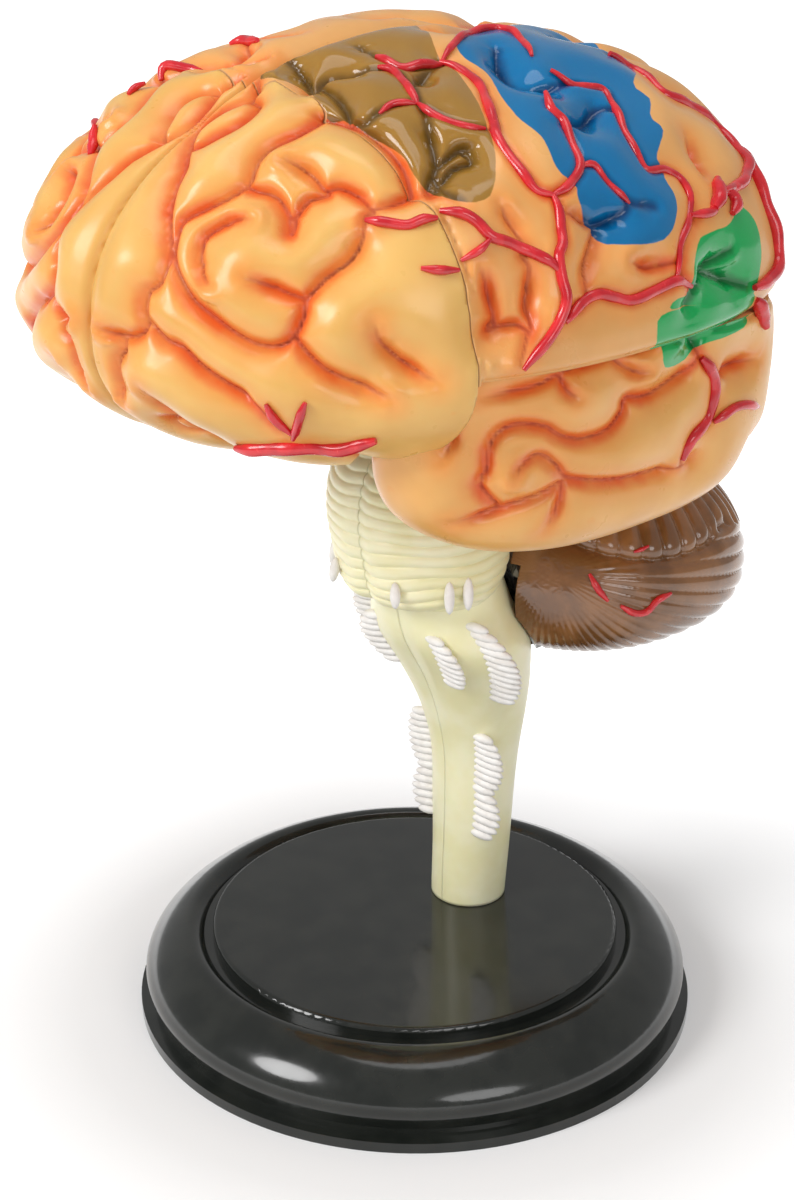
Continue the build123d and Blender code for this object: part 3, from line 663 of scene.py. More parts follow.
class Area:
    """An area on a form, as distances in millimetres to its outline, above 0 inside."""

    def __init__(self, pixels, shell):
        rim = smooth_line(seen_through(pixels + pixels[:1], shell), 1.0)[:-1]
        ways = shell.ways_to(rim)
        self.middle = ways.mean(axis=0) / np.linalg.norm(ways.mean(axis=0))
        self.across = np.cross((0, 0, 1.0), self.middle)
        self.across /= np.linalg.norm(self.across)
        self.up = np.cross(self.middle, self.across)
        self.rim = self.flat(ways)

    def flat(self, ways):
        """The directions laid out on a plane about the middle of the area."""
        a, b, c = ways @ self.across, ways @ self.up, ways @ self.middle
        angle = np.arctan2(np.hypot(a, b), c)
        share = angle / np.maximum(np.hypot(a, b), 1e-9) * usual_radius
        return np.stack([a * share, b * share], axis=-1)

    def within(self, ways):
        places = self.flat(ways)
        nearest = np.full(len(places), 1e9)
        inside = np.zeros(len(places), bool)
        for start, end in zip(self.rim, np.roll(self.rim, -1, axis=0)):
            edge = end - start
            offset = places - start
            share = np.clip(offset @ edge / max(edge @ edge, 1e-12), 0, 1)
            nearest = np.minimum(nearest, np.linalg.norm(offset - share[:, None] * edge, axis=1))
            crosses = (start[1] > places[:, 1]) != (end[1] > places[:, 1])
            slope = (end[0] - start[0]) / (end[1] - start[1] + 1e-12)
            inside ^= crosses & (places[:, 0] < start[0] + slope * (places[:, 1] - start[1]))
        return np.clip(np.where(inside, nearest, -nearest), -widest_edge, widest_edge)


brown = Area(brown_area, dome)
blue = Area(blue_area, dome)
green = Area(green_area, dome)
lower_green = Area(lower_green_area, temple)
ledge_green = Area(ledge_green_area, dome)

# The planes where the pieces part, as an axis and a value on it
front_plane = (1, frontal_seam_y - half_gap)
behind_plane = (1, frontal_seam_y + half_gap)
above_plane = (2, temporal_seam_z + half_gap)
below_plane = (2, temporal_seam_z - half_gap)
middle_plane = (0, middle_gap)


def lobe_finish(piece, flat, shell, creases, areas):
    """The numbers that the finish reads, and the plain finish of the faces where it was parted."""
    places = places_of(piece)
    ways = shell.ways_to(places)
    reach = shell.radius(ways)
    depth = reach - np.linalg.norm(places - shell.centre, axis=1)
    distance, weight = creases.near(shell.points(ways))
    give(piece, "crease", distance)
    give(piece, "crease_weight", weight)
    for area_name, area in areas:
        give(piece, area_name, area.within(ways))
    start = np.empty(len(piece.data.polygons), dtype=np.int32)
    piece.data.polygons.foreach_get("loop_start", start)
    corners = np.empty(len(piece.data.loops), dtype=np.int32)
    piece.data.loops.foreach_get("vertex_index", corners)
    inner = flat | (depth[corners[start]] > inner_from)
    piece.data.polygons.foreach_set("material_index", inner.astype(np.int32))


def pair(left, node, slot):
    """A left piece and its mirror image, each with the node that it replaces and its slot."""
    right = mirrored(left, node + "_right_form")
    return [(left, node + "_left", slot), (right, node + "_right", slot)]


def lobe_pair(node, shell, relief, spread, cells, low, high, planes, hollows, creases, plastic,
              areas=()):
    """A lobe and its mirror image; the right one carries no painted areas."""
    left = star_form(node + "_left_form", shell, relief, spread, cells)
    cut(left, block(low, high), "INTERSECT")
    for centre, reach in hollows:
        cut(left, round_form(centre, reach), "DIFFERENCE")
    flat = shade(left, planes)
    finish_with(left, plastic, inside_plastic)
    lobe_finish(left, flat, shell, creases, areas)
    made = pair(left, node, "cortex_plastic")
    right = made[1][0]
    for area_name, _ in areas:
        unpainted = np.full(len(right.data.vertices), -widest_edge, np.float32)
        right.data.attributes[area_name].data.foreach_set("value", unpainted)
    return made


# Stem: height, centre in Y, half width in X, half depth in Y
stem_foot = 11.25
cord_rows = [(stem_foot, 10.1, 5.1, 5.0), (24.0, 10.6, 5.4, 5.3), (33.0, 10.9, 6.0, 5.7),
             (40.0, 10.2, 7.6, 6.7), (46.0, 8.6, 9.8, 7.6), (52.0, 6.2, 11.5, 8.6),
             (56.5, 4.4, 9.8, 8.2), (60.5, 3.4, 8.8, 7.8)]
pons_rows = [(59.4, 0.6, 10.2, 8.7), (61.0, 0.6, 11.2, 9.6), (64.0, 0.8, 11.9, 10.4),
             (69.5, 0.6, 12.4, 11.1), (75.0, 0.6, 11.7, 10.3), (80.0, 0.6, 8.6, 7.4)]
midbrain_rows = [(78.0, 1.4, 8.0, 6.6), (86.0, 1.6, 6.8, 5.8), (94.3, 1.8, 6.6, 5.6)]
pons_ridge = 0.42
pons_ridges = 13


def column_at(rows, heights):
    """The centre in Y, half width and half depth of a column at these heights."""
    table = np.array(rows)
    smooth = smooth_line(table[:, [0, 2, 3]], 0.25)
    middles = smooth_line(np.column_stack([table[:, 0], table[:, 1], 0 * table[:, 1]]), 0.25)
    return (np.interp(heights, middles[:, 0], middles[:, 1]),
            np.interp(heights, smooth[:, 0], smooth[:, 1]),
            np.interp(heights, smooth[:, 0], smooth[:, 2]))


def column(name, rows, step, relief, around=160, edge=0.5):
    """A closed upright column through level ovals, with a rounded rim at both ends."""
    low, high = rows[0][0], rows[-1][0]
    heights = np.linspace(low, high, int((high - low) / step) + 1)
    heights = np.concatenate([[low, low], heights[1:-1], [high, high]])
    y, half_width, half_depth = column_at(rows, heights)
    turn = np.linspace(0, 2 * pi, around, endpoint=False)
    height, turn = np.meshgrid(heights, turn, indexing="ij")
    sunk = relief(height, turn)
    sunk[0] += edge
    sunk[-1] += edge
    x = (half_width[:, None] - sunk) * np.sin(turn)
    depth = (half_depth[:, None] - sunk) * -np.cos(turn)
    places = np.stack([x, y[:, None] + depth, height], axis=-1).reshape(-1, 3)
    ends = [[0, y[0], low], [0, y[-1], high]]
    count = len(heights)
    return mesh_object(name, np.vstack([places, ends]), grid_faces(count, around, True)
                       + pole_faces(count, around))


def smooth_relief(height, turn):
    return 0.06 * np.sin(height / 3.1 + 2 * turn) + 0.05 * np.cos(height / 5.3 - turn)


def cord_relief(height, turn):
    """A shallow channel down the front, as between the pyramids, that fades towards the foot."""
    front = np.exp(-(np.sin(turn / 2) / 0.10) ** 2)
    return 0.7 * front * np.clip((height - 30) / 20, 0, 1) + smooth_relief(height, turn)


def pons_relief(height, turn):
    """Bands that run across the front and sides."""
    low, high = pons_rows[0][0], pons_rows[-1][0]
    level = height + 0.5 * np.cos(2 * turn) + 0.25 * np.sin(5 * turn + height / 2)
    phase = (level - low) / (high - low) * pons_ridges
    bands = pons_ridge * (1 - np.abs(np.sin(pi * phase)) ** 0.45)
    front = np.exp(-(np.sin(turn / 2) / 0.06) ** 2)
    return bands * np.clip(1.3 + np.cos(turn), 0.2, 1) + 0.8 * front


def stem_pair():
    stem = column("brainstem_left_form", cord_rows, 0.4, cord_relief)
    cut(stem, column("cutter", pons_rows, 0.1, pons_relief, 240), "UNION")
    cut(stem, column("cutter", midbrain_rows, 0.8, smooth_relief), "UNION")
    cut(stem, block((middle_gap, -far, -far), (far, far, far)), "INTERSECT")
    shade(stem, [middle_plane, (2, stem_foot), (2, midbrain_rows[-1][0])])
    finish_with(stem, stem_plastic)
    return pair(stem, "brainstem", "stem_plastic")


# Cerebellum: its fissure runs on to the back, out of the photograph's sight
fissure_line = np.vstack([seen_through(horizontal_fissure, little_brain),
                          turned([(165, 4), (176, 2)], little_brain)])
fissure = Creases([fissure_line], taper=1.0)
fan_root = little_brain.ways_to(seen_through([(550, 572)], little_brain))[0]
fan_ridges = 60
steep_ridges = 58
folia_depth = 0.55
folia_steeper = 1.3
fissure_depth = 1.5
fissure_reach = 2.4
little_middle_depth = 1.6
little_middle_reach = 3.0
# Clear space round the two parts of the stem that the cerebellum lies against
little_rooms = [(cord_rows, 0.4), (pons_rows, 0.6)]


def fissure_level(ways):
    """The rise of the fissure at each turn, to tell what lies above it."""
    line = little_brain.ways_to(fissure_line)
    turns = np.arctan2(line[:, 0], -line[:, 1])
    order = np.argsort(turns)
    turn = np.arctan2(ways[:, 0], -ways[:, 1])
    return np.interp(turn, turns[order], line[order, 2])


def little_relief(places):
    """Ridges that run round above the fissure and fan out below it."""
    ways = little_brain.ways_to(places)
    distance = fissure.near(places)[0]
    above = ways[:, 2] > fissure_level(ways)
    turn = np.arctan2(ways[:, 0], -ways[:, 1] + 0.4)
    steep = np.abs(np.sin(turn * steep_ridges / 2 + 1.4 * ways[:, 2])) ** 0.5
    side = np.cross((0, 0, 1.0), fan_root)
    side /= np.linalg.norm(side)
    up = np.cross(fan_root, side)
    about = np.arctan2(ways @ up, ways @ side)
    spread = np.arccos(np.clip(ways @ fan_root, -1, 1))
    fan = np.abs(np.sin(about * fan_ridges / 2 + 1.2 * spread)) ** 0.5
    strength = np.clip(spread / 1.1, 0.15, 1)
    ridges = folia_depth * np.where(above, folia_steeper * (1 - steep), strength * (1 - fan))
    middle = rounding(abs(places[:, 0]), little_middle_depth, little_middle_reach)
    ridges = ridges + rounding(distance, fissure_depth, fissure_reach)
    depth = np.maximum(ridges, middle) + 0.2 * swell(places)
    return depth, np.zeros(len(places))


def little_pair():
    little = star_form("cerebellum_left_form", little_brain, little_relief, dome_spread, little_cells)
    cut(little, block((middle_gap, -far, 20), (far, far, far)), "INTERSECT")
    for rows, room in little_rooms:
        wider = [(height, y, width + room, depth + room) for height, y, width, depth in rows]
        cut(little, column("cutter", wider, 1.0, lambda height, turn: 0 * height), "DIFFERENCE")
    cut(little, block(saddle_low, saddle_high), "DIFFERENCE")
    shade(little, [middle_plane, (0, saddle_high[0]), (1, saddle_high[1]), (2, saddle_high[2])])
    finish_with(little, folia_plastic)
    return pair(little, "cerebellum", "cerebellum_plastic")


# Materials: named numbers of a piece steer the colours, and the grain comes from noise on its place
def add_node(tree, kind, inputs=(), **settings):
    """A node with these settings, whose inputs take a value or another node's output."""
    node = tree.nodes.new(kind)
    for name, value in settings.items():
        setattr(node, name, value)
    for name, value in dict(inputs).items():
        if isinstance(value, bpy.types.NodeSocket):
            tree.links.new(value, node.inputs[name])
        else:
            node.inputs[name].default_value = value
    return node


def rgba(colour):
    return (*colour, 1.0) if isinstance(colour, tuple) else colour


class Finish:
    """A material under construction, with short calls for the nodes it is made of."""

    def __init__(self, name, **inputs):
        self.material = bpy.data.materials.new(name)
        self.material.use_nodes = True
        self.tree = self.material.node_tree
        self.shader = self.tree.nodes["Principled BSDF"]
        for input_name, value in inputs.items():
            self.shader.inputs[input_name.replace("_", " ")].default_value = value
        self.place = add_node(self.tree, "ShaderNodeTexCoord").outputs["Object"]

    def glow_within(self, weight):
        """Let a little light pass under the surface, the red of it furthest."""
        self.shader.inputs["Subsurface Weight"].default_value = weight
        self.shader.inputs["Subsurface Radius"].default_value = (1.0, 0.45, 0.2)
        self.shader.inputs["Subsurface Scale"].default_value = 0.003

    def drive(self, name, source):
        self.tree.links.new(source, self.shader.inputs[name])

    def noise(self, size):
        """A noise with features of about this many millimetres."""
        return add_node(self.tree, "ShaderNodeTexNoise", {
            "Scale": 1 / (size * MM), "Detail": 3.0, "Vector": self.place}).outputs["Fac"]

    def number(self, name):
        return add_node(self.tree, "ShaderNodeAttribute", attribute_name=name).outputs["Fac"]

    def between(self, value, low, high):
        """0 at low and 1 at high, smooth between."""
        return add_node(self.tree, "ShaderNodeMapRange", {
            "Value": value, "From Min": low, "From Max": high},
            interpolation_type="SMOOTHSTEP").outputs["Result"]

    def math(self, operation, first, second):
        return add_node(self.tree, "ShaderNodeMath", {0: first, 1: second},
                        operation=operation).outputs["Value"]

    def mix(self, share, first, second):
        """The first colour, turning into the second as the share rises."""
        return add_node(self.tree, "ShaderNodeMix", {
            "Factor": share, 6: rgba(first), 7: rgba(second)}, data_type="RGBA").outputs[2]

    def blend(self, share, first, second):
        """The same for numbers."""
        return add_node(self.tree, "ShaderNodeMix", {"Factor": share, 2: first, 3: second}).outputs[0]

    def rough(self, low, high, size):
        """A roughness that varies between two values over about this many millimetres."""
        return add_node(self.tree, "ShaderNodeMapRange", {
            "Value": self.noise(size), "From Min": 0.3, "From Max": 0.7,
            "To Min": low, "To Max": high}).outputs["Result"]

    def bump(self, size, height):
        self.drive("Normal", add_node(self.tree, "ShaderNodeBump", {
            "Strength": 0.3, "Distance": height * MM, "Height": self.noise(size)}).outputs["Normal"])


def plain_finish(name, dark, light, roughness=(0.28, 0.4), grain=6.0, bump=(1.2, 0.04), coat=0.0,
                 subsurface=0.0, **inputs):
    """Plastic or paint that varies between two colours and two roughnesses, with a fine grain."""
    finish = Finish(name, Coat_Weight=coat, Coat_Roughness=0.08, **inputs)
    if subsurface:
        finish.glow_within(subsurface)
    mottle = finish.between(finish.noise(grain), 0.35, 0.65)
    finish.drive("Base Color", finish.mix(mottle, dark, light))
    finish.drive("Roughness", finish.rough(*roughness, grain / 2))
    finish.bump(*bump)
    return finish.material


def cortex_finish(name, dark, light, areas):
    """Moulded peach plastic, stained red in the creases, with a dark line of painted shade along their
    bottoms, and painted areas.
    """
    finish = Finish(name, Coat_Weight=0.1, Coat_Roughness=0.12, IOR=1.42)
    finish.glow_within(0.15)
    base = finish.mix(finish.between(finish.noise(9.0), 0.3, 0.7), dark, light)
    wander = finish.math("SUBTRACT", finish.math("MULTIPLY", finish.noise(2.5), 0.9), 0.45)
    patchy = finish.between(finish.noise(7.0), 0.36, 0.60)
    distance = finish.math("ADD", finish.number("crease"), wander)
    lasting = finish.between(finish.number("crease_weight"), 0.2, 0.9)
    glow = finish.math("SUBTRACT", 1.0, finish.between(distance, 0.3, 3.6))
    stain = finish.math("SUBTRACT", 1.0, finish.between(distance, 0.2, 1.5))
    # painted shade: a dark red-brown line along the bottom of each crease, over the red stain
    line = finish.math("SUBTRACT", 1.0, finish.between(finish.number("crease"), 0.05, 0.40))
    base = finish.mix(finish.math("MULTIPLY", glow, 0.62), base, glow_colour)
    worn = finish.math("ADD", finish.math("MULTIPLY", patchy, 0.55), 0.35)
    worn = finish.math("MULTIPLY", worn, lasting)
    base = finish.mix(finish.math("MULTIPLY", stain, worn), base, stain_colour)
    faint = finish.math("MULTIPLY", lasting, 0.6)
    base = finish.mix(finish.math("MULTIPLY", line, faint), base, crease_shade_colour)
    fleck = finish.between(finish.noise(3.4), 0.66, 0.72)
    base = finish.mix(finish.math("MULTIPLY", fleck, 0.25), base, fleck_colour)
    gloss = finish.blend(finish.math("MULTIPLY", line, lasting), finish.rough(0.26, 0.40, 4.0), 0.65)
    for area_name, body, shadow in areas:
        edge = finish.math("ADD", finish.number(area_name), finish.math("MULTIPLY", wander, 0.35))
        share = finish.between(edge, 0.1, 0.28)
        # each painted area darkens into its creases: painted shade
        paint = finish.mix(finish.between(distance, 0.0, 1.1), shadow, body)
        base = finish.mix(share, base, paint)
        gloss = finish.blend(share, gloss, 0.13)
    finish.drive("Base Color", base)
    finish.drive("Roughness", gloss)
    finish.bump(1.6, 0.05)
    return finish.material


def node_tree(name, size_name, kind, value):
    """A geometry node tree with a geometry and one named size in, and a geometry out."""
    tree = bpy.data.node_groups.new(name, "GeometryNodeTree")
    tree.interface.new_socket("Geometry", in_out="INPUT", socket_type="NodeSocketGeometry")
    size = tree.interface.new_socket(size_name, in_out="INPUT", socket_type=kind)
    size.default_value = value
    tree.interface.new_socket("Geometry", in_out="OUTPUT", socket_type="NodeSocketGeometry")
    return tree, size.identifier, tree.nodes.new("NodeGroupInput").outputs


def close_tree(tree, geometry, material):
    realize = add_node(tree, "GeometryNodeRealizeInstances", {"Geometry": geometry})
    painted = add_node(tree, "GeometryNodeSetMaterial", {
        "Geometry": realize.outputs["Geometry"], "Material": material})
    add_node(tree, "NodeGroupOutput", {"Geometry": painted.outputs["Geometry"]})


def point_number(tree, name, kind="FLOAT"):
    return add_node(tree, "GeometryNodeInputNamedAttribute", {"Name": name},
                    data_type=kind).outputs["Attribute"]


def smoothed(tree, geometry):
    return add_node(tree, "GeometryNodeSetShadeSmooth", {"Geometry": geometry}).outputs["Geometry"]


# Arteries are thin at their ends: the share of the thickness there, and the points, or the share of the
# points, until it is full
tube_sides = 10
thin_end = 0.45
thin_points = 3.0
thin_part = 0.12


def tube_tree(material):
    """A round tube along each line of the piece, as thick as its points say."""
    tree, key, start = node_tree("tube", "Sides", "NodeSocketInt", tube_sides)
    curve = add_node(tree, "GeometryNodeMeshToCurve", {"Mesh": start["Geometry"]})
    profile = add_node(tree, "GeometryNodeCurvePrimitiveCircle", {
        "Radius": 1.0, "Resolution": start["Sides"]})
    tube = add_node(tree, "GeometryNodeCurveToMesh", {
        "Curve": curve.outputs["Curve"], "Profile Curve": profile.outputs["Curve"],
        "Scale": point_number(tree, "thickness"), "Fill Caps": True})
    close_tree(tree, smoothed(tree, tube.outputs["Mesh"]), material)
    return tree, key


def grown(piece, tree_and_key, value):
    """Run a geometry node tree on a piece with this size and keep what it makes."""
    growth = piece.modifiers.new("growth", "NODES")
    growth.node_group, key = tree_and_key
    growth[key] = value
    settle(piece)
    return piece


def tubes(name, lines, tree_and_key):
    """Tubes along lines of points in millimetres, each line with its half thickness."""
    places, thickness, edges = [], [], []
    for points, half in lines:
        first = len(places)
        places += list(points)
        count = len(points)
        to_end = np.minimum(np.arange(count), np.arange(count)[::-1])
        share = to_end / max(thin_points, count * thin_part)
        thickness += list(half * MM * np.clip(thin_end + (1 - thin_end) * share, 0, 1))
        edges += [(first + i, first + i + 1) for i in range(count - 1)]
    piece = mesh_object(name, places, [], edges)
    give(piece, "thickness", thickness)
    return grown(piece, tree_and_key, tube_sides)


def on_relief(pixels, shell, relief, half, far_side=False):
    """A smooth line of points that lies half sunk on the relief; the far side's is given mirrored."""
    line = smooth_line(seen_through(pixels, shell), 0.45)
    if far_side:
        line[:, 0] = abs(line[:, 0])
    ways = shell.ways_to(line)
    base = shell.points(ways)
    reach = shell.radius(ways) - relief(base)[0]
    wide = np.convolve(np.pad(reach, 3, mode="edge"), np.ones(7) / 7, mode="valid")
    step = np.arange(len(line))
    wander = 0.12 * np.sin(step * 0.55) + 0.08 * np.sin(step * 0.23 + 1)
    return shell.centre + ways * (wide + 0.35 * half + wander)[:, None], half


def on_right(points):
    """The points on the right side, whichever side they were on."""
    return np.column_stack([-abs(points[:, 0]), points[:, 1:]])


# Finishes
front_peach = ((0.75, 0.415, 0.110), (0.83, 0.495, 0.150))
upper_peach = ((0.76, 0.375, 0.115), (0.84, 0.440, 0.150))
lower_peach = ((0.80, 0.405, 0.112), (0.88, 0.478, 0.148))
glow_colour = (0.88, 0.30, 0.055)
stain_colour = (0.78, 0.105, 0.016)
# painted shade along the bottom of each crease
crease_shade_colour = (0.36, 0.020, 0.004)
fleck_colour = (0.84, 0.33, 0.06)
# Painted areas: the name of their numbers, their colour, and a darker colour in their creases that is
# painted shade
brown_paint = ("brown", (0.350, 0.180, 0.030), (0.135, 0.068, 0.012))
blue_paint = ("blue", (0.001, 0.160, 0.38), (0.001, 0.045, 0.16))
green_paint = ("green", (0.004, 0.390, 0.090), (0.002, 0.150, 0.030))
ledge_paint = ("ledge_green", *green_paint[1:])
frontal_plastic = cortex_finish("peach_plastic_front", *front_peach, [])
parietal_plastic = cortex_finish("peach_plastic_upper", *upper_peach,
                                 [brown_paint, blue_paint, green_paint, ledge_paint])
temporal_plastic = cortex_finish("peach_plastic_lower", *lower_peach, [green_paint])
inside_plastic = plain_finish("parting_face_plastic", (0.66, 0.36, 0.16), (0.74, 0.43, 0.20),
                              (0.5, 0.62))
artery_paint = plain_finish("artery_red", (0.55, 0.008, 0.018), (0.72, 0.022, 0.030),
                            (0.16, 0.28), 2.0, (0.8, 0.03), 0.2)
stem_plastic = plain_finish("cream_plastic", (0.86, 0.81, 0.48), (0.92, 0.88, 0.60),
                            (0.3, 0.44), 7.0, (1.4, 0.03), 0.1, 0.1)
root_plastic = plain_finish("white_root_plastic", (0.82, 0.79, 0.75), (0.90, 0.88, 0.85),
                            (0.4, 0.55), 1.5)
folia_plastic = plain_finish("brown_plastic", (0.180, 0.076, 0.024), (0.285, 0.125, 0.042),
                             (0.14, 0.24), 5.0, (1.0, 0.02), 0.4)
black_plastic = plain_finish("black_gloss_plastic", (0.010, 0.012, 0.010), (0.017, 0.019, 0.016),
                             (0.14, 0.22), 5.0, (0.7, 0.004), 0.5, IOR=1.38)
saddle_plastic = plain_finish("grey_plastic", (0.16, 0.155, 0.14), (0.30, 0.29, 0.27),
                              (0.2, 0.34), 1.6, (0.9, 0.05), 0.3)
inner_colours = {
    "white_core": (0.78, 0.71, 0.60), "corpus_callosum": (0.84, 0.79, 0.70),
    "lateral_ventricle": (0.04, 0.16, 0.46), "thalamus": (0.44, 0.43, 0.42),
    "caudate": (0.04, 0.30, 0.10), "putamen": (0.26, 0.11, 0.32), "hippocampus": (0.74, 0.54, 0.10),
    "amygdala": (0.62, 0.04, 0.04), "hypothalamus": (0.78, 0.36, 0.33),
}
node_finish = {"stand": black_plastic, "fourth_ventricle": saddle_plastic}
for part_name, light in inner_colours.items():
    dark = tuple(0.85 * value for value in light)
    node_finish[part_name] = plain_finish(part_name + "_plastic", dark, light, (0.3, 0.42), 4.0)

# The left pieces and their mirror images
finished = lobe_pair("frontal_lobe", dome, dome_relief, dome_spread, dome_cells, (middle_gap, -far, 60),
                     (far, frontal_seam_y - half_gap, far), [middle_plane, front_plane], [tip_hollow],
                     dome_creases, frontal_plastic)
finished += lobe_pair("parietal_lobe", dome, dome_relief, dome_spread, dome_cells,
                      (middle_gap, frontal_seam_y + half_gap, temporal_seam_z + half_gap), (far, far, far),
                      [middle_plane, behind_plane, above_plane], [core_hollow], dome_creases,
                      parietal_plastic,
                      [("brown", brown), ("blue", blue), ("green", green), ("ledge_green", ledge_green)])
finished += lobe_pair("temporal_lobe", temple, temple_relief, temple_spread, temple_cells,
                      (middle_gap, -far, 20), (far, far, temporal_seam_z - half_gap),
                      [middle_plane, below_plane], [core_hollow, stem_hollow], temple_creases,
                      temporal_plastic, [("green", lower_green)])
finished += stem_pair() + little_pair()
for piece, node, slot in finished:
    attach(piece, "root")
    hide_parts(node)

# Arteries, raised and painted red
tube = tube_tree(artery_paint)
artery_lines = [("upper_arteries", dome, dome_relief, dome_arteries),
                ("front_arteries", dome, dome_relief, frontal_arteries),
                ("lower_arteries", temple, temple_relief, temporal_arteries),
                ("cerebellum_arteries", little_brain, little_relief, little_arteries)]
for name, shell, relief, lines in artery_lines:
    laid = [on_relief(pixels, shell, relief, half) for half, pixels in lines]
    again = laid
    if name == "upper_arteries":
        again = [laid[i] for i in repeated_arteries]
        laid += [on_relief(pixels, shell, relief, half) for half, pixels in rim_arteries]
        again += [on_relief(pixels, shell, relief, half, True) for half, pixels in far_arteries]
    raised = [tubes(name + "_left", laid, tube)]
    if name != "front_arteries":
        moved = [(on_right(points), half) for points, half in again]
        raised.append(tubes(name + "_right", moved, tube))
    for piece in raised:
        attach(piece, "root")

# White ridged nerve roots: the turn where each leaves the stem, the turn it points to on the left and on
# the right side, its lowest and highest point, and how far it stands out
root_rows = [
    (29.0, 97.0, 74.0, 47.0, 54.0, 3.4),
    (65.0, 112.0, 80.0, 44.6, 56.0, 4.2),
    (50.0, 104.0, 78.0, 29.4, 37.4, 3.8),
    (52.0, 104.0, 78.0, 22.6, 29.2, 3.6),
]
root_spacing = 0.95
root_sunk = 1.2
root_half_thickness = 0.66
# Small white stubs under the bridge: turn, height and half length, on an oval this wide and deep
stub_rows = [(28.0, 62.0, 1.7), (62.0, 62.0, 2.1), (75.0, 62.2, 2.1)]
stub_oval = (12.0, 10.5)


def rod_tree(material):
    """A short rounded rod laid at each point of the piece, along the point's own direction."""
    tree, key, start = node_tree("root_ridges", "Thickness", "NodeSocketFloat", 0.001)
    ball = add_node(tree, "GeometryNodeMeshUVSphere", {"Segments": 12, "Rings": 8, "Radius": 1.0})
    turn = add_node(tree, "FunctionNodeAlignRotationToVector", {
        "Vector": point_number(tree, "way", "FLOAT_VECTOR")}, axis="X")
    size = add_node(tree, "ShaderNodeCombineXYZ", {
        "X": point_number(tree, "length"), "Y": start["Thickness"], "Z": start["Thickness"]})
    rods = add_node(tree, "GeometryNodeInstanceOnPoints", {
        "Points": start["Geometry"], "Instance": smoothed(tree, ball.outputs["Mesh"]),
        "Rotation": turn.outputs["Rotation"], "Scale": size.outputs["Vector"]})
    close_tree(tree, rods.outputs["Instances"], material)
    return tree, key


def stem_surface(turn, height):
    y, half_width, half_depth = [float(value) for value in column_at(cord_rows, height)]
    return np.array((half_width * sin(turn), y - half_depth * cos(turn), height))


def nerve_roots(name, side):
    """The ridged roots of one side: +1 is the left."""
    places, ways, lengths = [], [], []
    for turn, left_aim, right_aim, low, high, reach in root_rows:
        aim = radians(left_aim if side > 0 else right_aim)
        way = np.array((sin(aim), -cos(aim), 0.0))
        count = int((high - low) / root_spacing) + 1
        for i in range(count):
            share = i / (count - 1)
            leaf = sin(pi * (0.16 + 0.74 * share)) ** 0.5
            root = stem_surface(radians(turn), low + (high - low) * share)
            places.append(root + way * (reach * leaf - root_sunk) / 2)
            ways.append(way + (0, 0, -0.12))
            lengths.append((reach * leaf + root_sunk) / 2 * MM)
    for turn, height, half_length in stub_rows:
        turn = radians(turn)
        places.append((stub_oval[0] * sin(turn), pons_rows[1][1] - stub_oval[1] * cos(turn), height))
        ways.append((0.12, -0.1, -1.0))
        lengths.append(half_length * MM)
    piece = mesh_object(name, np.array(places) * (side, 1, 1), [])
    give(piece, "length", lengths)
    layer = piece.data.attributes.new("way", "FLOAT_VECTOR", "POINT")
    layer.data.foreach_set("vector", (np.array(ways) * (side, 1, 1)).astype(np.float32).ravel())
    return grown(piece, root_tree, root_half_thickness * MM)


root_tree = rod_tree(root_plastic)
for piece in (nerve_roots("nerve_roots_left", 1), nerve_roots("nerve_roots_right", -1)):
    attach(piece, "root")

# Finishes of the nodes that stay as they are
for node_name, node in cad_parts.items():
    part_name = node_name.replace("_left", "").replace("_right", "")
    for slot in node.material_slots if part_name in node_finish else ():
        slot.material = node_finish[part_name]
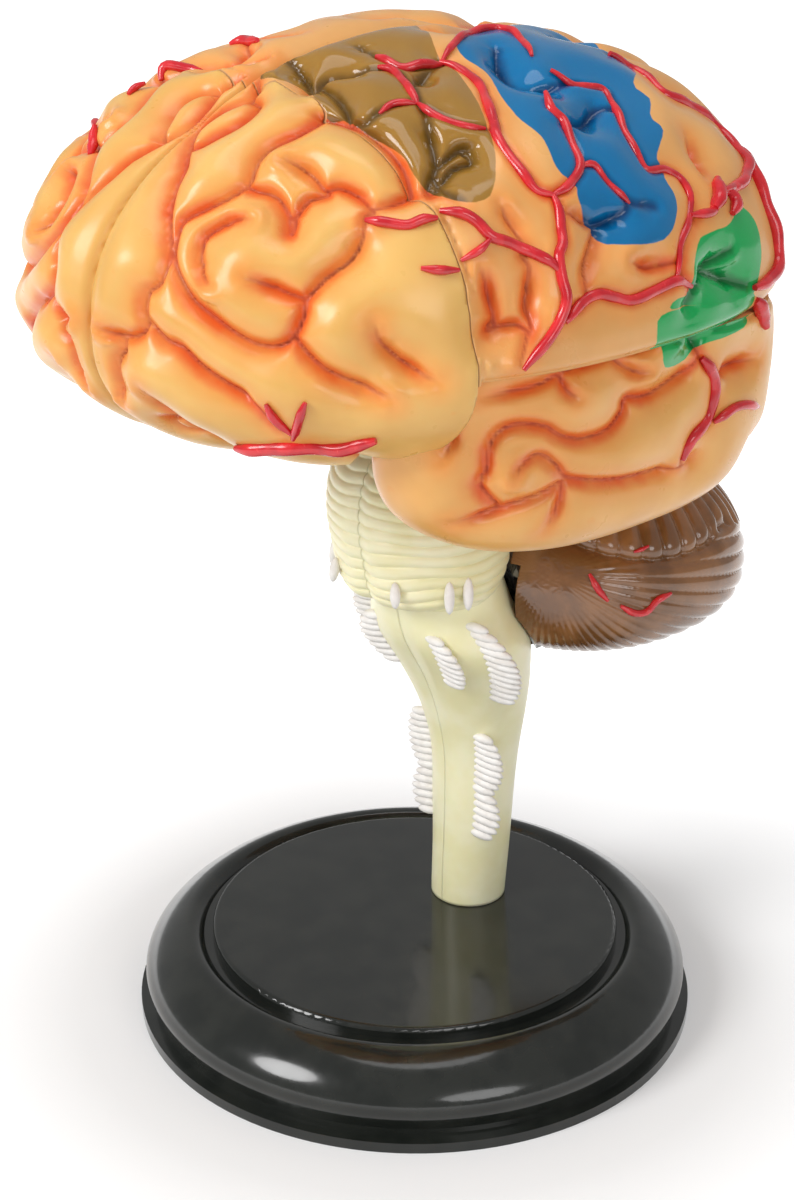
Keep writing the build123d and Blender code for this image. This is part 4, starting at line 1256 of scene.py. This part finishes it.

# Floor, world, lamps and camera. The floor shines white to the camera and in reflections, and less near
# the stand: a painted shadow round the stand, added to the shadow that falls there
floor_half = 4000
shadow_from = 0.045
shadow_to = 0.115
corners = [(-floor_half, -floor_half, 0), (floor_half, -floor_half, 0),
           (floor_half, floor_half, 0), (-floor_half, floor_half, 0)]
floor = mesh_object("floor", corners, [(0, 1, 2, 3)])
white = Finish("floor_white", Base_Color=(0.80, 0.80, 0.805, 1), Roughness=0.9, Specular_IOR_Level=0.1,
               Emission_Color=(1, 1, 1, 1))
from_middle = add_node(white.tree, "ShaderNodeVectorMath", {0: white.place}, operation="LENGTH")
# painted shadow: the floor's own light is dimmer towards the stand
painted_floor_shadow = add_node(white.tree, "ShaderNodeMapRange", {
    "Value": from_middle.outputs["Value"], "From Min": shadow_from, "From Max": shadow_to,
    "To Min": 0.16, "To Max": 0.80})
ray = add_node(white.tree, "ShaderNodeLightPath").outputs
seen = white.math("MAXIMUM", ray["Is Camera Ray"], ray["Is Glossy Ray"])
white.drive("Emission Strength", white.math("MULTIPLY", seen, painted_floor_shadow.outputs["Result"]))
floor.data.materials.append(white.material)

world = bpy.data.worlds.new("studio")
bpy.context.scene.world = world
world.use_nodes = True
camera_ray = add_node(world.node_tree, "ShaderNodeLightPath").outputs["Is Camera Ray"]
strength = add_node(world.node_tree, "ShaderNodeMapRange", {
    "Value": camera_ray, "To Min": 0.42, "To Max": 1.0})
sky = world.node_tree.nodes["Background"].inputs
sky["Color"].default_value = (1, 1, 1, 1)
world.node_tree.links.new(strength.outputs["Result"], sky["Strength"])


def lamp(name, place, size, watts):
    """A soft oval lamp at a place in metres that looks at the middle of the model."""
    light = bpy.data.lights.new(name, "AREA")
    light.shape = "ELLIPSE"
    light.size, light.size_y = size
    light.energy = watts
    lamp_object = linked(name, light)
    lamp_object.location = place
    aim = np.array((0.0, 0.0, 0.08)) - np.array(place)
    away = np.linalg.norm(aim[:2])
    lamp_object.rotation_euler = (pi / 2 + np.arctan2(aim[2], away), 0, np.arctan2(-aim[0], aim[1]))


lamp("key", (-0.15, -0.80, 0.60), (0.42, 0.42), 5.4)
lamp("side", (0.85, -0.25, 0.40), (0.5, 0.35), 1.7)
lamp("top", (0.0, 0.0, 1.0), (0.6, 0.6), 2.2)

camera_data = bpy.data.cameras.new("camera")
camera_data.sensor_fit = "VERTICAL"
camera_data.sensor_height = 36.0
camera_data.lens = 36.0 * view_focal_px / view_height_px
camera_data.clip_start = 0.01
camera = linked("camera", camera_data)
camera.location = viewpoint * MM
camera.rotation_euler = (pi / 2 - view_pitch, 0, view_turn)
bpy.context.scene.camera = camera
bpy.context.scene.view_settings.view_transform = "Standard"
